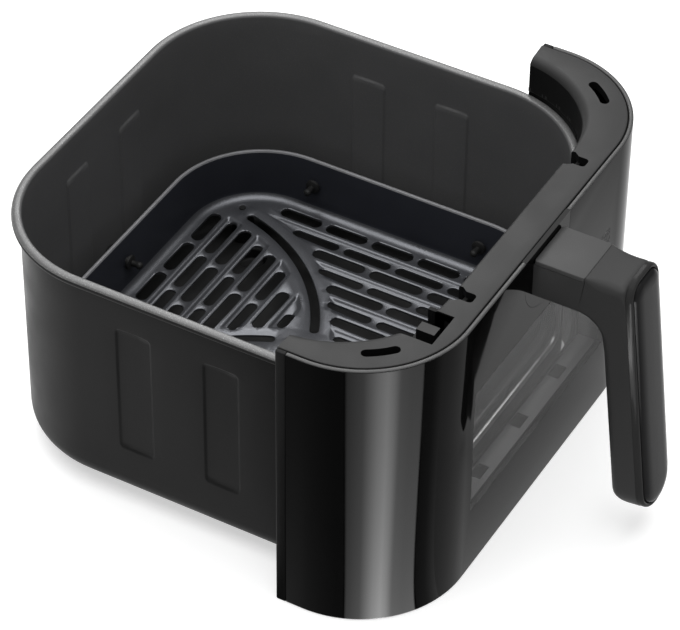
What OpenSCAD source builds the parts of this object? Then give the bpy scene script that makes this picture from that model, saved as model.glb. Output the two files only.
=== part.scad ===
// Air fryer drawer: a coated pan with a lift-out crisper tray, a wrap-round front panel
// with a viewing window, and a pistol-shaped handle.
// X runs to the right, Y from the front panel to the back of the pan, Z up.
// The origin is on the table, under the middle of the pan.

/* [Pan] */
// Half of the pan's outer width, without its rolled rim
pan_half = 116; // [114:1:118]
// Height of the top of the rolled rim above the table
pan_top = 140; // [136:1:144]
// Height of the pan's base above the table
pan_base = 7; // [6:0.5:8]
// Outer corner radius of the pan's wall
pan_corner = 61; // [58:1:63]
// Sheet thickness of the pan
pan_sheet = 1.2; // [1:0.1:1.5]

/* [Tray] */
// Half of the crisper tray's width at its top edge
tray_half = 107; // [104:0.5:108]
// Height of the tray's top edge above the table
tray_top = 58; // [54:1:62]
// Height of the tray's ridges above the table
tray_floor = 28.5; // [27:0.5:30]
// Depth of the tray's valleys below its ridges
valley_depth = 1.5; // [1:0.5:3]

/* [Front panel] */
// Half of the front panel's width
panel_half = 135; // [133:1:138]
// Distance from the pan's middle to the panel's front face
panel_front = 137; // [136:0.5:138]
// Outer radius of the panel's two front corners
panel_corner = 57; // [54:1:60]
// Height of the panel's top face
panel_top = 161.5; // [159:0.5:164]
// Distance from the pan's middle back to the ends of the panel's wings
wing_end = 65.3; // [60:0.5:70]
// Thickness of the gloss outer shell
shell_wall = 2.4; // [2:0.1:3]
// Half of the viewing window's width
window_half = 71; // [60:1:72]
// Height of the window's lower edge above the table
window_low = 39.5; // [38:0.5:44]
// Height of the window's upper edge above the table
window_high = 115.5; // [108:0.5:116]

/* [Handle] */
// Half of the handle's width
grip_half = 15; // [13:0.5:16]
// Height of the arm's top face
arm_top = 157.5; // [156:0.5:158]
// Depth of the arm, top to bottom
arm_depth = 23; // [21:1:24]
// Slope of the grip away from the panel, in degrees
grip_tilt = 6.5; // [4:0.5:8]
// Distance along the grip from the table's height to its lower end
grip_bottom = 17; // [12:0.5:35]

/* [Hidden] */
$fn = 64;
eps = 0.01;
far = 400;                          // larger than the whole drawer

// pan
corner_steps = 10;                  // facets in a quarter turn of a lofted corner
base_fillet = 12.5;
rim_r = 2.25;                       // half of the rolled rim's thickness
rim_out = 4;                        // how far the rim stands out from the wall
pan_inside = pan_half - pan_sheet;
pan_floor = pan_base + pan_sheet;
emboss_in = 15;                     // inner edge of an embossed upright, from the wall's middle
emboss_out = 34;
emboss_low = 38.5;
emboss_high = 116;
emboss_depth = 0.9;
foot_place = 70;                    // pressed feet, from the pan's middle
foot_r = 9;
// window in the pan's front wall
port_half = 50;
port_low = 52;
port_high = 104;
port_corner = 8;
glass_lap = 5;                      // how far the glass laps the wall round the opening
glass_t = 3;
seal_t = 0.6;
retainer_t = 1;
retainer_lap = 3;                   // how far the retainer stands out beyond the glass

// front panel
frame_wall = 2.2;
frame_gap = 0.4;                    // seam between the frame's top face and the shell
lip_side = 119.4;                   // the frame's lip above the rim, from the pan's middle
lip_front = 117;
lip_corner = 58;
lip_t = 2.5;
rear_in = 121;                      // the frame's rear wall, clear of the rim
rim_clear = 1;                      // from the rim's top to the frame's lip
strip_w = 6;                        // frame's strip at a wing's end, beyond the shell
deck_t = 2.5;                       // thickness of the frame's top face
slot_r = 44;                        // curved slots: radius of their middle line
slot_w = 5;
slot_from = 31;
slot_to = 49;
notch_x = 58;                       // T-shaped notches, from the middle
notch_head = 10.5;
notch_neck = 6.5;
notch_depth = 11;
gate_x = -84.6;                     // notch round the switch actuator
gate_w = 22;
gate_y = -126;
gate_l = 22;
tunnel_wall = 2;
tunnel_gap = 2;                     // from the window's edge to the tunnel's inside
clip_pitch = 42;
clip_w = 10;
clip_l = 6;
pane_flange = 4;
pane_flange_t = 1.2;
foam_t = 0.8;
boss_r = 4;
shell_screw_x = 126.5;
shell_screw_z = [28, 132];
panel_base = 0;

// handle
base_half = 23;                     // the base plate's half-width, which is also its round end's radius
base_mid = 145.5;                   // centre of the base plate's round end
base_gap = 0.2;
block_half = 20;                    // the base's block behind the shell, round the core
block_wall = 2.5;
block_low = 132.5;
block_high = 158.7;
arm_low = arm_top - arm_depth;
arm_end = -164;                     // where the arm's cover stops and the grip's moulding starts
cover_t = 2.5;
grip_back = -174;                   // the grip's rear face at the height grip_ref
grip_ref = 120.5;
grip_t = 15;                      // the moulding's thickness in front of its rear face
trim_t = 3.2;
face_t = 3.9;
face_front = 5.4;                   // from the trim's seat to the face's front
trim_bead = 2.6;                    // width of the trim round the face
core_t = 3;
core_z = 144;
core_half = 9;
core_screw_x = 12;
core_screw_z = 127;
arm_screw_y = [-146, -157];
trim_screw_z = [45, 125];

// tray
tray_corner = 53;
tray_sheet = 1.5;
flat_half = 97;
flat_corner = 37;
swirl_c = [-29.2, 101.1];           // centre of a curved slot's circle, before rotation
swirl_r = 110.6;
swirl_w = 5;
swirl_from = [16.6, 0.4];
swirl_to = [78.2, 74.5];
field_in = 6.5;                     // from a curved slot's line to the ribbed fields beside it
field_out = 7.8;
field_low = 14;
ridge_first = 91.5;
ridge_pitch = 21.2;
ridge_top_w = 10.4;                 // flat top of a ridge
slope_w = 1.8;
ridge_slot_w = 7;
valley_slot_w = 6;
// [slots in the row, start of the first, length, pitch], from the wall inwards
ridge_rows = [[5, -63.7, 24.6, 27.75], [3, -32, 31, 34.4], [2, -11.5, 33, 35.6], [1, 3, 32, 0]];
valley_rows = [[4, -50.5, 28, 31.2], [3, -22.3, 26, 29.2], [2, -4.8, 25.5, 29], [1, 10.4, 12.4, 0]];
corner_hole = 83;
corner_hole_r = 1.75;
bumper_z = 43.5;
bumper_y = 50;
bumper_hole_r = 2.5;
stand_r = 6;
stand_neck_r = 3.5;
clear = 0.3;                        // gap between the tray's soft parts and the pan

// ---------- shared shapes ----------

// A rectangle with round corners, centred
module round_rect(w, l, r) {
    square([w - 2 * r, l], center = true);
    square([w, l - 2 * r], center = true);
    for (sx = [-1, 1], sy = [-1, 1])
        translate([sx * (w / 2 - r), sy * (l / 2 - r)]) circle(r);
}

// A slot with round ends along X, from x0, of length l and width w
module slot(x0, l, w) {
    translate([x0 + w / 2, -w / 2]) square([l - w, w]);
    for (x = [x0 + w / 2, x0 + l - w / 2]) translate([x, 0]) circle(w / 2);
}

// Draws in the XZ plane, and gives it depth d towards +Y from y
module upright(y, d) {
    translate([0, y + d, 0]) rotate([90, 0, 0]) linear_extrude(d) children();
}

// Draws in the YZ plane, and gives it width w, centred on X = 0
module sideways(w) {
    rotate([90, 0, 90]) translate([0, 0, -w / 2]) linear_extrude(w) children();
}

function ring_points(h, r) = [
    for (q = [0:3]) for (k = [0:corner_steps])
        let (a = 90 * q + 90 * k / corner_steps,
             sx = (q == 0 || q == 3) ? 1 : -1,
             sy = q < 2 ? 1 : -1)
        [sx * (h - r) + r * cos(a), sy * (h - r) + r * sin(a)]
];

// A closed solid through square rings with round corners, each [half-width, corner radius, height]
module loft(rings) {
    m = 4 * (corner_steps + 1);
    last = (len(rings) - 1) * m;
    points = [for (g = rings) for (p = ring_points(g[0], g[1])) [p[0], p[1], g[2]]];
    sides = [
        for (i = [0:len(rings) - 2]) for (j = [0:m - 1])
            let (a = i * m + j, b = i * m + (j + 1) % m)
            each [[a, a + m, b + m], [a, b + m, b]]
    ];
    polyhedron(points, concat([[for (j = [0:m - 1]) j]], sides, [[for (j = [m - 1:-1:0]) last + j]]));
}

// Points of an arc in [offset, height] form
function arc_points(c, r, a0, a1, n) = [
    for (k = [0:n]) let (a = a0 + (a1 - a0) * k / n) [c[0] + r * cos(a), c[1] + r * sin(a)]
];

// Rings for a profile of [inset from a half-width h, height]
function rings_of(profile, h, r) = [for (p = profile) [h - p[0], r - p[0], p[1]]];

// ---------- pan ----------

pan_profile = concat(
    [for (p = arc_points([base_fillet, pan_base + base_fillet], base_fillet, 270, 180, 6)) p],
    arc_points([-rim_out + rim_r, pan_top - rim_r], rim_r, -38, -270, 12),
    [[-0.3, pan_top]],
    arc_points([-0.3, pan_top - pan_sheet - 0.3], pan_sheet + 0.3, 60, 0, 2),
    [for (p = arc_points([base_fillet, pan_base + base_fillet], base_fillet - pan_sheet, 180, 270, 6)) p]
);

module emboss_shape() {
    for (s = [-1, 1])
        translate([s * (emboss_in + emboss_out) / 2, (emboss_low + emboss_high) / 2])
            round_rect(emboss_out - emboss_in, emboss_high - emboss_low, 3);
}

module on_three_walls() {
    for (a = [90, 180, 270]) rotate(a) children();
}

module port_shape(grow) {
    translate([0, (port_low + port_high) / 2])
        round_rect(2 * (port_half + grow), port_high - port_low + 2 * grow, port_corner + min(grow, 0) / 2);
}

module pan() {
    color([0.16, 0.16, 0.165]) {
        difference() {
            union() {
                loft(rings_of(pan_profile, pan_half, pan_corner));
                for (x = [-1, 1], y = [-1, 1])
                    translate([x * foot_place, y * foot_place, 0])
                        cylinder(r = foot_r, h = pan_base + pan_sheet / 2);
            }
            for (x = [-1, 1], y = [-1, 1])
                translate([x * foot_place, y * foot_place, pan_sheet])
                    cylinder(r = foot_r - pan_sheet, h = pan_base + pan_sheet);
            on_three_walls() upright(-pan_half - 1, 1 + emboss_depth) emboss_shape();
            upright(-pan_half - 1, 3) port_shape(0);
            for (p = rivet_places)
                translate([p[0], -pan_half - 1, p[1]]) rotate([-90, 0, 0]) cylinder(r = rivet_r, h = 3);
        }
        on_three_walls() upright(-pan_inside - eps, emboss_depth + eps) emboss_shape();
    }
}

// ---------- window in the pan ----------

rivet_r = 1.5;
rivet_inset = glass_lap + retainer_lap / 2 + 1.8;
rivet_places = [
    for (x = [-1, 1], z = [port_low - rivet_inset, port_high + rivet_inset]) [x * 34, z]
];
glass_y = -pan_half - seal_t - glass_t;

module pan_window_seal() {
    color([0.1, 0.1, 0.1]) upright(-pan_half - seal_t, seal_t) difference() {
        port_shape(glass_lap);
        port_shape(1);
    }
}

module pan_window_glass() {
    color([0.6, 0.66, 0.68, 0.4]) upright(glass_y, glass_t) port_shape(glass_lap - 0.2);
}

// A pressed steel frame: a face that laps the glass, walls round it and a flange on the pan
module pan_window_retainer() {
    tabs = retainer_lap + 2.8;
    color([0.55, 0.55, 0.56]) {
        upright(glass_y - retainer_t, retainer_t) difference() {
            port_shape(glass_lap + retainer_t);
            port_shape(glass_lap - 3);
        }
        upright(glass_y - eps, glass_t + seal_t + eps) difference() {
            port_shape(glass_lap + retainer_t);
            port_shape(glass_lap);
        }
        upright(-pan_half - retainer_t, retainer_t) difference() {
            intersection() {
                port_shape(glass_lap + tabs);
                translate([-port_half, 0]) square([2 * port_half, pan_top]);
            }
            port_shape(glass_lap + eps);
            for (p = rivet_places) translate(p) circle(rivet_r);
        }
    }
}

module pan_window_rivets() {
    color([0.6, 0.6, 0.61]) for (p = rivet_places) translate([p[0], 0, p[1]]) rotate([-90, 0, 0]) {
        translate([0, 0, -pan_half - retainer_t]) cylinder(r = rivet_r, h = retainer_t + pan_sheet);
        translate([0, 0, -pan_half - retainer_t - 0.8]) cylinder(r = 2.2, h = 0.8);
        translate([0, 0, -pan_inside]) cylinder(r = 2.2, h = 0.7);
    }
}

// ---------- bracket between the pan and the handle ----------

bracket_half = 30;
bracket_low = 115.5;
bracket_high = 133;
bracket_face = -120.6;
bracket_t = 1.5;
core_screw_r = 2.5;

module bracket_screws_at(z0, r, h) {
    for (s = [-1, 1])
        translate([s * core_screw_x, z0, core_screw_z]) rotate([-90, 0, 0]) cylinder(r = r, h = h);
}

module pan_bracket() {
    color([0.5, 0.5, 0.51]) difference() {
        union() {
            translate([-bracket_half, bracket_face, bracket_low])
                cube([2 * bracket_half, bracket_t, bracket_high - bracket_low]);
            for (s = [-1, 1]) {
                translate([s * (bracket_half - bracket_t / 2) - bracket_t / 2, bracket_face, bracket_low])
                    cube([bracket_t, -pan_half - bracket_face, bracket_high - bracket_low]);
                translate([s * (bracket_half + 5) - 6, -pan_half - bracket_t, bracket_low])
                    cube([12, bracket_t, bracket_high - bracket_low]);
            }
        }
        bracket_screws_at(bracket_face - 1, core_screw_r + 0.3, bracket_t + 2);
    }
}

module bracket_nuts() {
    nut_t = -pan_half - bracket_face - bracket_t - 0.2;
    color([0.62, 0.6, 0.55]) difference() {
        for (s = [-1, 1]) translate([s * core_screw_x, bracket_face + bracket_t, core_screw_z])
            rotate([-90, 0, 0]) cylinder(r = 4.6, h = nut_t, $fn = 6);
        bracket_screws_at(bracket_face, core_screw_r, 10);
    }
}

// ---------- front panel ----------

// The panel's outline, inset all round, open to the back past the wing ends
module panel_shape(inset, back = wing_end) {
    a = panel_half - inset;
    r = panel_corner - inset;
    f = -panel_front + inset;
    ahead(back) {
        translate([-a, f + r]) square([2 * a, -back - f - r]);
        translate([-a + r, f]) square([2 * (a - r), -back - f]);
        for (s = [-1, 1]) translate([s * (a - r), f + r]) circle(r);
    }
}

// An outline that follows the pan's wall at half-width h
module pan_shape(h) {
    round_rect(2 * h, 2 * h, pan_corner + h - pan_half);
}

// The outline of the frame's lip, grown by g
module lip_shape(g) {
    a = lip_side + g;
    b = lip_front + g;
    r = lip_corner + g;
    translate([-a, r - b]) square([2 * a, b]);
    translate([r - a, -b]) square([2 * (a - r), 2 * b]);
    for (s = [-1, 1]) translate([s * (a - r), r - b]) circle(r);
}

// The part of a 2D shape in front of the wing ends
module ahead(back = wing_end) {
    intersection() {
        union() children();
        translate([-far / 2, -far]) square([far, far - back]);
    }
}

module curved_slot() {
    c = [panel_half - panel_corner, -panel_front + panel_corner];
    intersection() {
        difference() {
            translate(c) circle(slot_r + slot_w / 2);
            translate(c) circle(slot_r - slot_w / 2);
        }
        translate(c) polygon([
            [0, 0],
            for (a = [slot_from, (slot_from + slot_to) / 2, slot_to]) 80 * [cos(a), -sin(a)]
        ]);
    }
    for (a = [slot_from, slot_to]) translate(c + slot_r * [cos(a), -sin(a)]) circle(slot_w / 2);
}

module tee_notch() {
    translate([notch_x, -lip_front]) {
        translate([-notch_head / 2, -2.5]) square([notch_head, 6]);
        polygon([[-notch_head / 2, -2.4], [-notch_neck / 2, -5],
            [notch_neck / 2, -5], [notch_head / 2, -2.4]]);
        translate([0, -notch_depth / 2 - 1]) round_rect(notch_neck, notch_depth - 2, 2);
    }
}

// The recess that the switch actuator stands in, open to the lip, grown by g
module gate_shape(g) {
    translate([gate_x - gate_w / 2 - g, gate_y - g]) square([gate_w + 2 * g, gate_l + g]);
}

module deck_shape() {
    difference() {
        panel_shape(shell_wall + frame_gap);
        lip_shape(0);
        for (s = [0, 1]) mirror([s, 0]) {
            curved_slot();
            tee_notch();
        }
    }
}

lip_low = pan_top + rim_clear;
deck_z = panel_top - deck_t;
tunnel_front = -panel_front + shell_wall + pane_flange_t + foam_t;

module window_shape(grow) {
    translate([-window_half - grow, window_low - grow])
        square([2 * (window_half + grow), window_high - window_low + 2 * grow]);
}

module shell_screws_at(y0, r, h) {
    for (s = [-1, 1], z = shell_screw_z)
        translate([s * shell_screw_x, y0, z]) rotate([-90, 0, 0]) cylinder(r = r, h = h);
}

module inner_frame() {
    color([0.27, 0.27, 0.275]) difference() {
        union() {
            translate([0, 0, deck_z]) linear_extrude(deck_t) deck_shape();
            translate([0, 0, lip_low]) linear_extrude(panel_top - lip_low - eps) ahead() difference() {
                lip_shape(lip_t);
                lip_shape(0);
                for (s = [0, 1]) mirror([s, 0])
                    translate([notch_x - notch_head / 2, -lip_front - 5]) square([notch_head, 8]);
            }
            translate([0, 0, lip_low]) linear_extrude(frame_wall) ahead() difference() {
                pan_shape(rear_in + frame_wall);
                lip_shape(0);
            }
            translate([0, 0, panel_base]) linear_extrude(deck_z - panel_base + eps) ahead() difference() {
                pan_shape(rear_in + frame_wall);
                pan_shape(rear_in);
            }
            translate([0, 0, panel_base]) linear_extrude(frame_wall) ahead() difference() {
                panel_shape(shell_wall);
                pan_shape(rear_in);
            }
            for (s = [0, 1]) mirror([s, 0, 0]) wing_close();
            window_tunnel();
            translate([0, 0, lip_low]) linear_extrude(panel_top - lip_low - eps) difference() {
                gate_shape(frame_wall);
                lip_shape(0);
            }
        }
        translate([0, 0, lip_low + frame_wall]) linear_extrude(far) gate_shape(0);
        upright(tunnel_front - 1, 20) window_shape(tunnel_gap);
        for (i = [-1:1]) translate([i * clip_pitch - clip_w / 2, -panel_front + 7.5, window_low - 10])
            cube([clip_w, clip_l, 20]);
        shell_screws_at(-wing_end - 10, 1.8, 20);
        bracket_screws_at(-rear_in - 5, core_screw_r + 0.3, 10);
    }
}

// The end wall of a wing and the strip that shows beyond the shell
module wing_close() {
    translate([0, 0, panel_base]) linear_extrude(deck_z - panel_base + eps) difference() {
        translate([rear_in, -wing_end - frame_wall]) square([panel_half - rear_in, frame_wall]);
        pan_shape(rear_in);
    }
    translate([panel_half - shell_wall - 1.2, -wing_end - strip_w, panel_base])
        cube([1.2 - 0.2, strip_w, panel_top - panel_base - eps]);
    translate([panel_half - shell_wall - 0.4, -wing_end - strip_w + 0.2, panel_base])
        cube([shell_wall + 0.4, strip_w - 0.2, panel_top - panel_base - 0.4]);
}

module window_tunnel() {
    difference() {
        upright(tunnel_front, -rear_in - frame_wall - tunnel_front + eps)
            window_shape(tunnel_gap + tunnel_wall);
        upright(tunnel_front - 1, 30) window_shape(tunnel_gap);
    }
}

module base_shape(grow) {
    translate([0, base_mid]) circle(base_half + grow);
    translate([-base_half - grow, base_mid]) square([2 * (base_half + grow), panel_top - base_mid + 1]);
}

module outer_shell() {
    back = wing_end + strip_w;
    color([0.03, 0.03, 0.032]) {
        difference() {
            linear_extrude(panel_top - 0.2) difference() {
                panel_shape(0, back);
                panel_shape(shell_wall, back - 1);
            }
            upright(-panel_front - 1, shell_wall + 2) window_shape(0);
            upright(-panel_front - 1, shell_wall + 2) base_shape(0);
        }
        for (s = [0, 1], z = shell_screw_z) mirror([s, 0, 0]) shell_boss(z);
    }
}

// A boss on a rib inside the shell's side, for a screw through the wing's end
module shell_boss(z) {
    length = 12;
    y0 = -wing_end - frame_wall - length - 0.1;
    difference() {
        union() {
            translate([shell_screw_x, y0, z]) rotate([-90, 0, 0]) cylinder(r = boss_r, h = length);
            translate([shell_screw_x, y0, z - 1])
                cube([panel_half - shell_wall - shell_screw_x - 1.4, length, 2]);
            translate([panel_half - shell_wall - 1.5, y0, z - 1]) cube([1.6, 5.5, 2]);
        }
        translate([shell_screw_x, y0 - 1, z]) rotate([-90, 0, 0]) cylinder(r = 1.5, h = length + 2);
    }
}

module shell_screws() {
    color([0.6, 0.6, 0.61]) {
        shell_screws_at(-wing_end - 12, 1.5, 12);
        shell_screws_at(-wing_end, 3, 1.8);
    }
}

module window_pane() {
    color([0.35, 0.36, 0.37, 0.45]) {
        upright(-panel_front, shell_wall + eps) window_shape(-0.1);
        upright(-panel_front + shell_wall, pane_flange_t) window_shape(pane_flange);
    }
}

module window_seal() {
    color([0.08, 0.08, 0.08]) upright(tunnel_front - foam_t, foam_t) difference() {
        window_shape(pane_flange);
        window_shape(tunnel_gap);
    }
}

// A stem on the frame's step that works the door switch in the fryer's body
module switch_actuator() {
    step = lip_low + frame_wall;
    color([0.32, 0.32, 0.33]) {
        translate([gate_x - 3, gate_y + 3.2, step]) cube([6, 9.5, panel_top - 2 - step]);
        translate([gate_x - 6, gate_y + 4.4, step]) cube([12, 7, 2]);
    }
}

// ---------- handle ----------

module handle_base() {
    front = -panel_front + shell_wall;
    back = -rear_in - frame_wall - core_t - 0.1;
    color([0.2, 0.2, 0.205]) difference() {
        union() {
            upright(-panel_front, shell_wall + eps) intersection() {
                base_shape(-base_gap);
                translate([-far / 2, 0]) square([far, panel_top - 0.2]);
            }
            translate([-block_half, front, block_low])
                cube([2 * block_half, back - front, block_high - block_low]);
        }
        translate([-block_half + block_wall, front + 2, block_low + block_wall])
            cube([2 * (block_half - block_wall), 20, block_high - block_low - 2 * block_wall]);
        translate([-core_half - 0.2, -160, core_z - 0.2]) cube([2 * core_half + 0.4, 60, core_t + 0.4]);
    }
}

core_back = -rear_in - frame_wall;
grip_origin = [grip_back - grip_ref * tan(grip_tilt), 0];

// A steel angle: a plate on the frame's rear wall, a tongue in the arm and a leg down the grip
module handle_core() {
    color([0.5, 0.5, 0.51]) difference() {
        union() {
            translate([-core_half - 10, core_back - core_t, core_screw_z - 7])
                cube([2 * core_half + 20, core_t, 156 - core_screw_z + 7]);
            sideways(2 * core_half) core_side();
        }
        bracket_screws_at(core_back - core_t - 1, core_screw_r + 0.3, core_t + 2);
        for (y = arm_screw_y) translate([0, y, core_z - 1]) cylinder(r = 2.1, h = core_t + 2);
    }
}

module core_side() {
    knee = grip_back - 4;
    translate([knee, core_z]) square([core_back - 1 - knee, core_t]);
    translate(grip_origin) rotate(-grip_tilt) translate([-8, 30]) square([core_t, 115.5]);
}

module core_screws() {
    color([0.62, 0.62, 0.63]) {
        bracket_screws_at(core_back - core_t, core_screw_r, core_t + 8.4 - 1.6);
        bracket_screws_at(core_back - core_t - 2.6, 4.6, 2.6);
    }
}

// The grip's own frame: origin on its rear face at table height, Z along the grip
module in_grip() {
    translate([0, grip_origin[0], 0]) rotate([-grip_tilt, 0, 0]) children();
}

grip_top = 160;                     // the trim's upper end, along the grip
trim_corner = 10;                   // the trim's upper corners
shoulder = 3;                       // rounding where the arm's top meets the trim
shoulder_y = -185;
back_corner = 12;                   // rounding of the grip's lower rear edge
elbow_r = 13;

// Side view of the handle's moulding, as [Y, Z]
module handle_side() {
    elbow = [grip_back + 0.8, arm_low];
    difference() {
        union() {
            intersection() {
                translate(grip_origin) rotate(-grip_tilt) {
                    translate([-grip_t, grip_bottom + back_corner]) square([grip_t, far]);
                    translate([-grip_t, grip_bottom]) square([grip_t - back_corner, 40]);
                    intersection() {
                        translate([-back_corner, grip_bottom + back_corner]) circle(back_corner);
                        translate([-grip_t, 0]) square([grip_t, far]);
                    }
                }
                arm_top_side();
            }
            intersection() {
                translate([-178, elbow[1] - elbow_r]) square([178 - panel_front, far]);
                arm_top_side();
            }
        }
        // under the arm
        translate(elbow + [elbow_r, -elbow_r]) circle(elbow_r);
        translate(elbow + [elbow_r, -far]) square([far, far]);
        translate(elbow - [0, far]) square([far, far - elbow_r]);
    }
}

// Everything under the arm's top, with its front corner rounded
module arm_top_side() {
    corner = [shoulder_y + shoulder, arm_top - shoulder];
    translate([-far, 0]) square([far, corner[1]]);
    translate([corner[0], 0]) square([far, arm_top]);
    translate(corner) circle(shoulder);
}

module grip_front(inset) {
    w = 2 * (grip_half - inset);
    low = grip_bottom + inset;
    high = grip_top - inset;
    r_low = grip_half - inset;
    r_high = trim_corner - inset;
    translate([-w / 2, low + r_low]) square([w, high - r_high - low - r_low]);
    translate([0, low + r_low]) circle(r_low);
    translate([-w / 2 + r_high, high - 20]) square([w - 2 * r_high, 20]);
    for (s = [-1, 1]) translate([s * (w / 2 - r_high), high - r_high]) circle(r_high);
}

module handle_body() {
    color([0.13, 0.13, 0.133]) difference() {
        intersection() {
            sideways(2 * grip_half) handle_side();
            union() {
                in_grip() upright(-60, 60) grip_front(0);
                translate([-grip_half, -184, arm_low - elbow_r]) cube([2 * grip_half, 60, 60]);
            }
        }
        // arm: open at the top under the cover
        translate([-12, arm_end + 2.5, arm_low + 2.5]) cube([24, -panel_front - arm_end - 5, 40]);
        translate([-grip_half - 1, arm_end, arm_top - cover_t]) cube([2 * grip_half + 2, 60, 10]);
        translate([-12, -181, arm_low + 2.5]) cube([24, 20, arm_depth - 5]);
        translate([-core_half - 0.2, -140.5, core_z - 0.2]) cube([2 * core_half + 0.4, 6, core_t + 0.4]);
        in_grip() translate([-11, -grip_t - 1, grip_bottom + 5]) cube([22, grip_t - 2, 118]);
    }
}

// Snaps over the arm's screws
module arm_cover() {
    color([0.36, 0.36, 0.365]) {
        translate([-grip_half, arm_end + 0.15, arm_top - cover_t])
            cube([2 * grip_half, -panel_front - arm_end - 0.25, cover_t]);
        for (s = [-1, 1]) translate([s * 10.8 - 1, arm_end + 4, arm_top - cover_t - 4])
            cube([2, 16, 4 + eps]);
    }
}

module arm_screws() {
    color([0.62, 0.62, 0.63]) for (y = arm_screw_y) translate([0, y, 0]) {
        translate([0, 0, core_z + core_t]) cylinder(r = 3.6, h = 2.4);
        translate([0, 0, core_z - 6]) cylinder(r = 2, h = core_t + 6 + eps);
    }
}

module handle_trim() {
    color([0.02, 0.02, 0.022]) in_grip() difference() {
        upright(-grip_t - trim_t, trim_t) grip_front(0.1);
        upright(-grip_t - trim_t - 1, trim_t) grip_front(trim_bead);
        for (z = trim_screw_z) translate([0, -grip_t + 1, z]) rotate([90, 0, 0]) {
            cylinder(r = 1.5, h = 4);
            translate([0, 0, 1.5]) cylinder(r = 2.9, h = 4);
        }
    }
}

module handle_face() {
    color([0.2, 0.2, 0.205]) in_grip() upright(-grip_t - face_front, face_t) grip_front(trim_bead + 0.2);
}

// Screws from the trim into the core's leg
module trim_screws() {
    front = grip_t + 1.4;
    color([0.62, 0.62, 0.63]) in_grip()
        for (z = trim_screw_z) translate([0, -front, z]) rotate([-90, 0, 0]) {
            cylinder(r = 1.5, h = front - 8);
            cylinder(r = 2.8, h = 0.9);
        }
}

// ---------- tray ----------

tray_rings = let (low = tray_floor - tray_sheet) [
    [flat_half, flat_corner, low],
    [flat_half + 2.6, flat_corner + 1.6, low + 0.8],
    [flat_half + 4.6, flat_corner + 3, low + 2.7],
    [flat_half + 5.6, flat_corner + 4.5, low + 5.6],
    [tray_half - 0.6, tray_corner - 0.5, tray_top - 1],
    [tray_half, tray_corner, tray_top - 0.4],
    [tray_half, tray_corner, tray_top],
    [tray_half - 1.2, tray_corner - 1.2, tray_top],
    [tray_half - 2, tray_corner - 2, tray_top - 1.4],
    [flat_half + 4, flat_corner + 3.4, low + 6.2],
    [flat_half + 3, flat_corner + 2, low + 3.7],
    [flat_half + 1.2, flat_corner + 0.8, low + 2],
    [flat_half - 0.6, flat_corner - 0.5, low + tray_sheet]
];

// The ribbed field next to the back wall, grown by g
module field_shape(g) {
    intersection() {
        difference() {
            translate(swirl_c) circle(swirl_r - field_in + g);
            translate([-swirl_c[1], swirl_c[0]]) circle(swirl_r + field_out - g);
        }
        translate([-flat_half, field_low - g]) square([2 * flat_half, flat_half - 1.5 - field_low + 2 * g]);
        round_rect(2 * (flat_half - 1.5 + g), 2 * (flat_half - 1.5 + g), flat_corner - 1);
    }
}

function swirl_angle(p) = atan2(p[1] - swirl_c[1], p[0] - swirl_c[0]);
function swirl_point(a, out) = swirl_c + (swirl_r + out) * [cos(a), sin(a)];

// The curved slot, with round ends
module swirl_slot() {
    a0 = swirl_angle(swirl_from);
    a1 = swirl_angle(swirl_to);
    h = swirl_w / 2;
    steps = 16;
    polygon(concat(
        [for (k = [0:steps]) swirl_point(a0 + (a1 - a0) * k / steps, h)],
        [for (t = [30:30:150]) swirl_point(a1, 0) + h * [cos(a1 + t), sin(a1 + t)]],
        [for (k = [0:steps]) swirl_point(a1 + (a0 - a1) * k / steps, -h)],
        [for (t = [210:30:330]) swirl_point(a0, 0) + h * [cos(a0 + t), sin(a0 + t)]]
    ));
}

// All the slots of one field
module row_slots(rows, first, w) {
    for (i = [0:len(rows) - 1]) for (k = [0:rows[i][0] - 1])
        translate([0, first - i * ridge_pitch]) slot(rows[i][1] + k * rows[i][3], rows[i][2], w);
}

// The field's sheet as a section along Y, with its valleys
module field_section() {
    half = (ridge_pitch - ridge_top_w) / 2;
    skew = 0.4 * tray_sheet;
    top = [for (y = valley_lines) each [[y + half, 0], [y + half - slope_w, -valley_depth],
        [y - half + slope_w, -valley_depth], [y - half, 0]]];
    n = len(top) - 1;
    under = [for (i = [n:-1:0]) top[i] + [i % 4 < 2 ? skew : -skew, -tray_sheet]];
    translate([0, tray_floor]) polygon(concat([[flat_half, 0]], top,
        [[0, 0], [0, -tray_sheet]], under, [[flat_half, -tray_sheet]]));
}

valley_lines = [for (i = [0:3]) ridge_first - (i + 0.5) * ridge_pitch];

// The field's sheet, with a wall round it
module tray_field() {
    low = tray_floor - tray_sheet - valley_depth;
    intersection() {
        sideways(2 * flat_half) field_section();
        translate([0, 0, low - 1]) linear_extrude(10) field_shape(0);
    }
    translate([0, 0, low]) linear_extrude(tray_sheet + valley_depth) difference() {
        field_shape(0);
        field_shape(-1.2);
    }
}

module tray_slots() {
    linear_extrude(tray_floor + 2) {
        row_slots(ridge_rows, ridge_first, ridge_slot_w);
        row_slots(valley_rows, ridge_first - ridge_pitch / 2, valley_slot_w);
        swirl_slot();
        translate([corner_hole, corner_hole]) circle(corner_hole_r);
    }
}

module bumper_holes() {
    for (a = [0, 180], y = [-1, 1]) rotate(a)
        translate([90, y * bumper_y, bumper_z]) rotate([0, 90, 0]) cylinder(r = bumper_hole_r, h = 30);
    for (a = [0, 180]) rotate(a)
        translate([0, 90, bumper_z]) rotate([-90, 0, 0]) cylinder(r = bumper_hole_r, h = 30);
}

module tray() {
    color([0.3, 0.31, 0.33]) difference() {
        union() {
            difference() {
                loft(tray_rings);
                for (a = [0:90:270]) rotate(a) linear_extrude(tray_floor + 2) field_shape(-0.6);
            }
            for (a = [0:90:270]) rotate(a) tray_field();
        }
        for (a = [0:90:270]) rotate(a) tray_slots();
        bumper_holes();
    }
}

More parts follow.
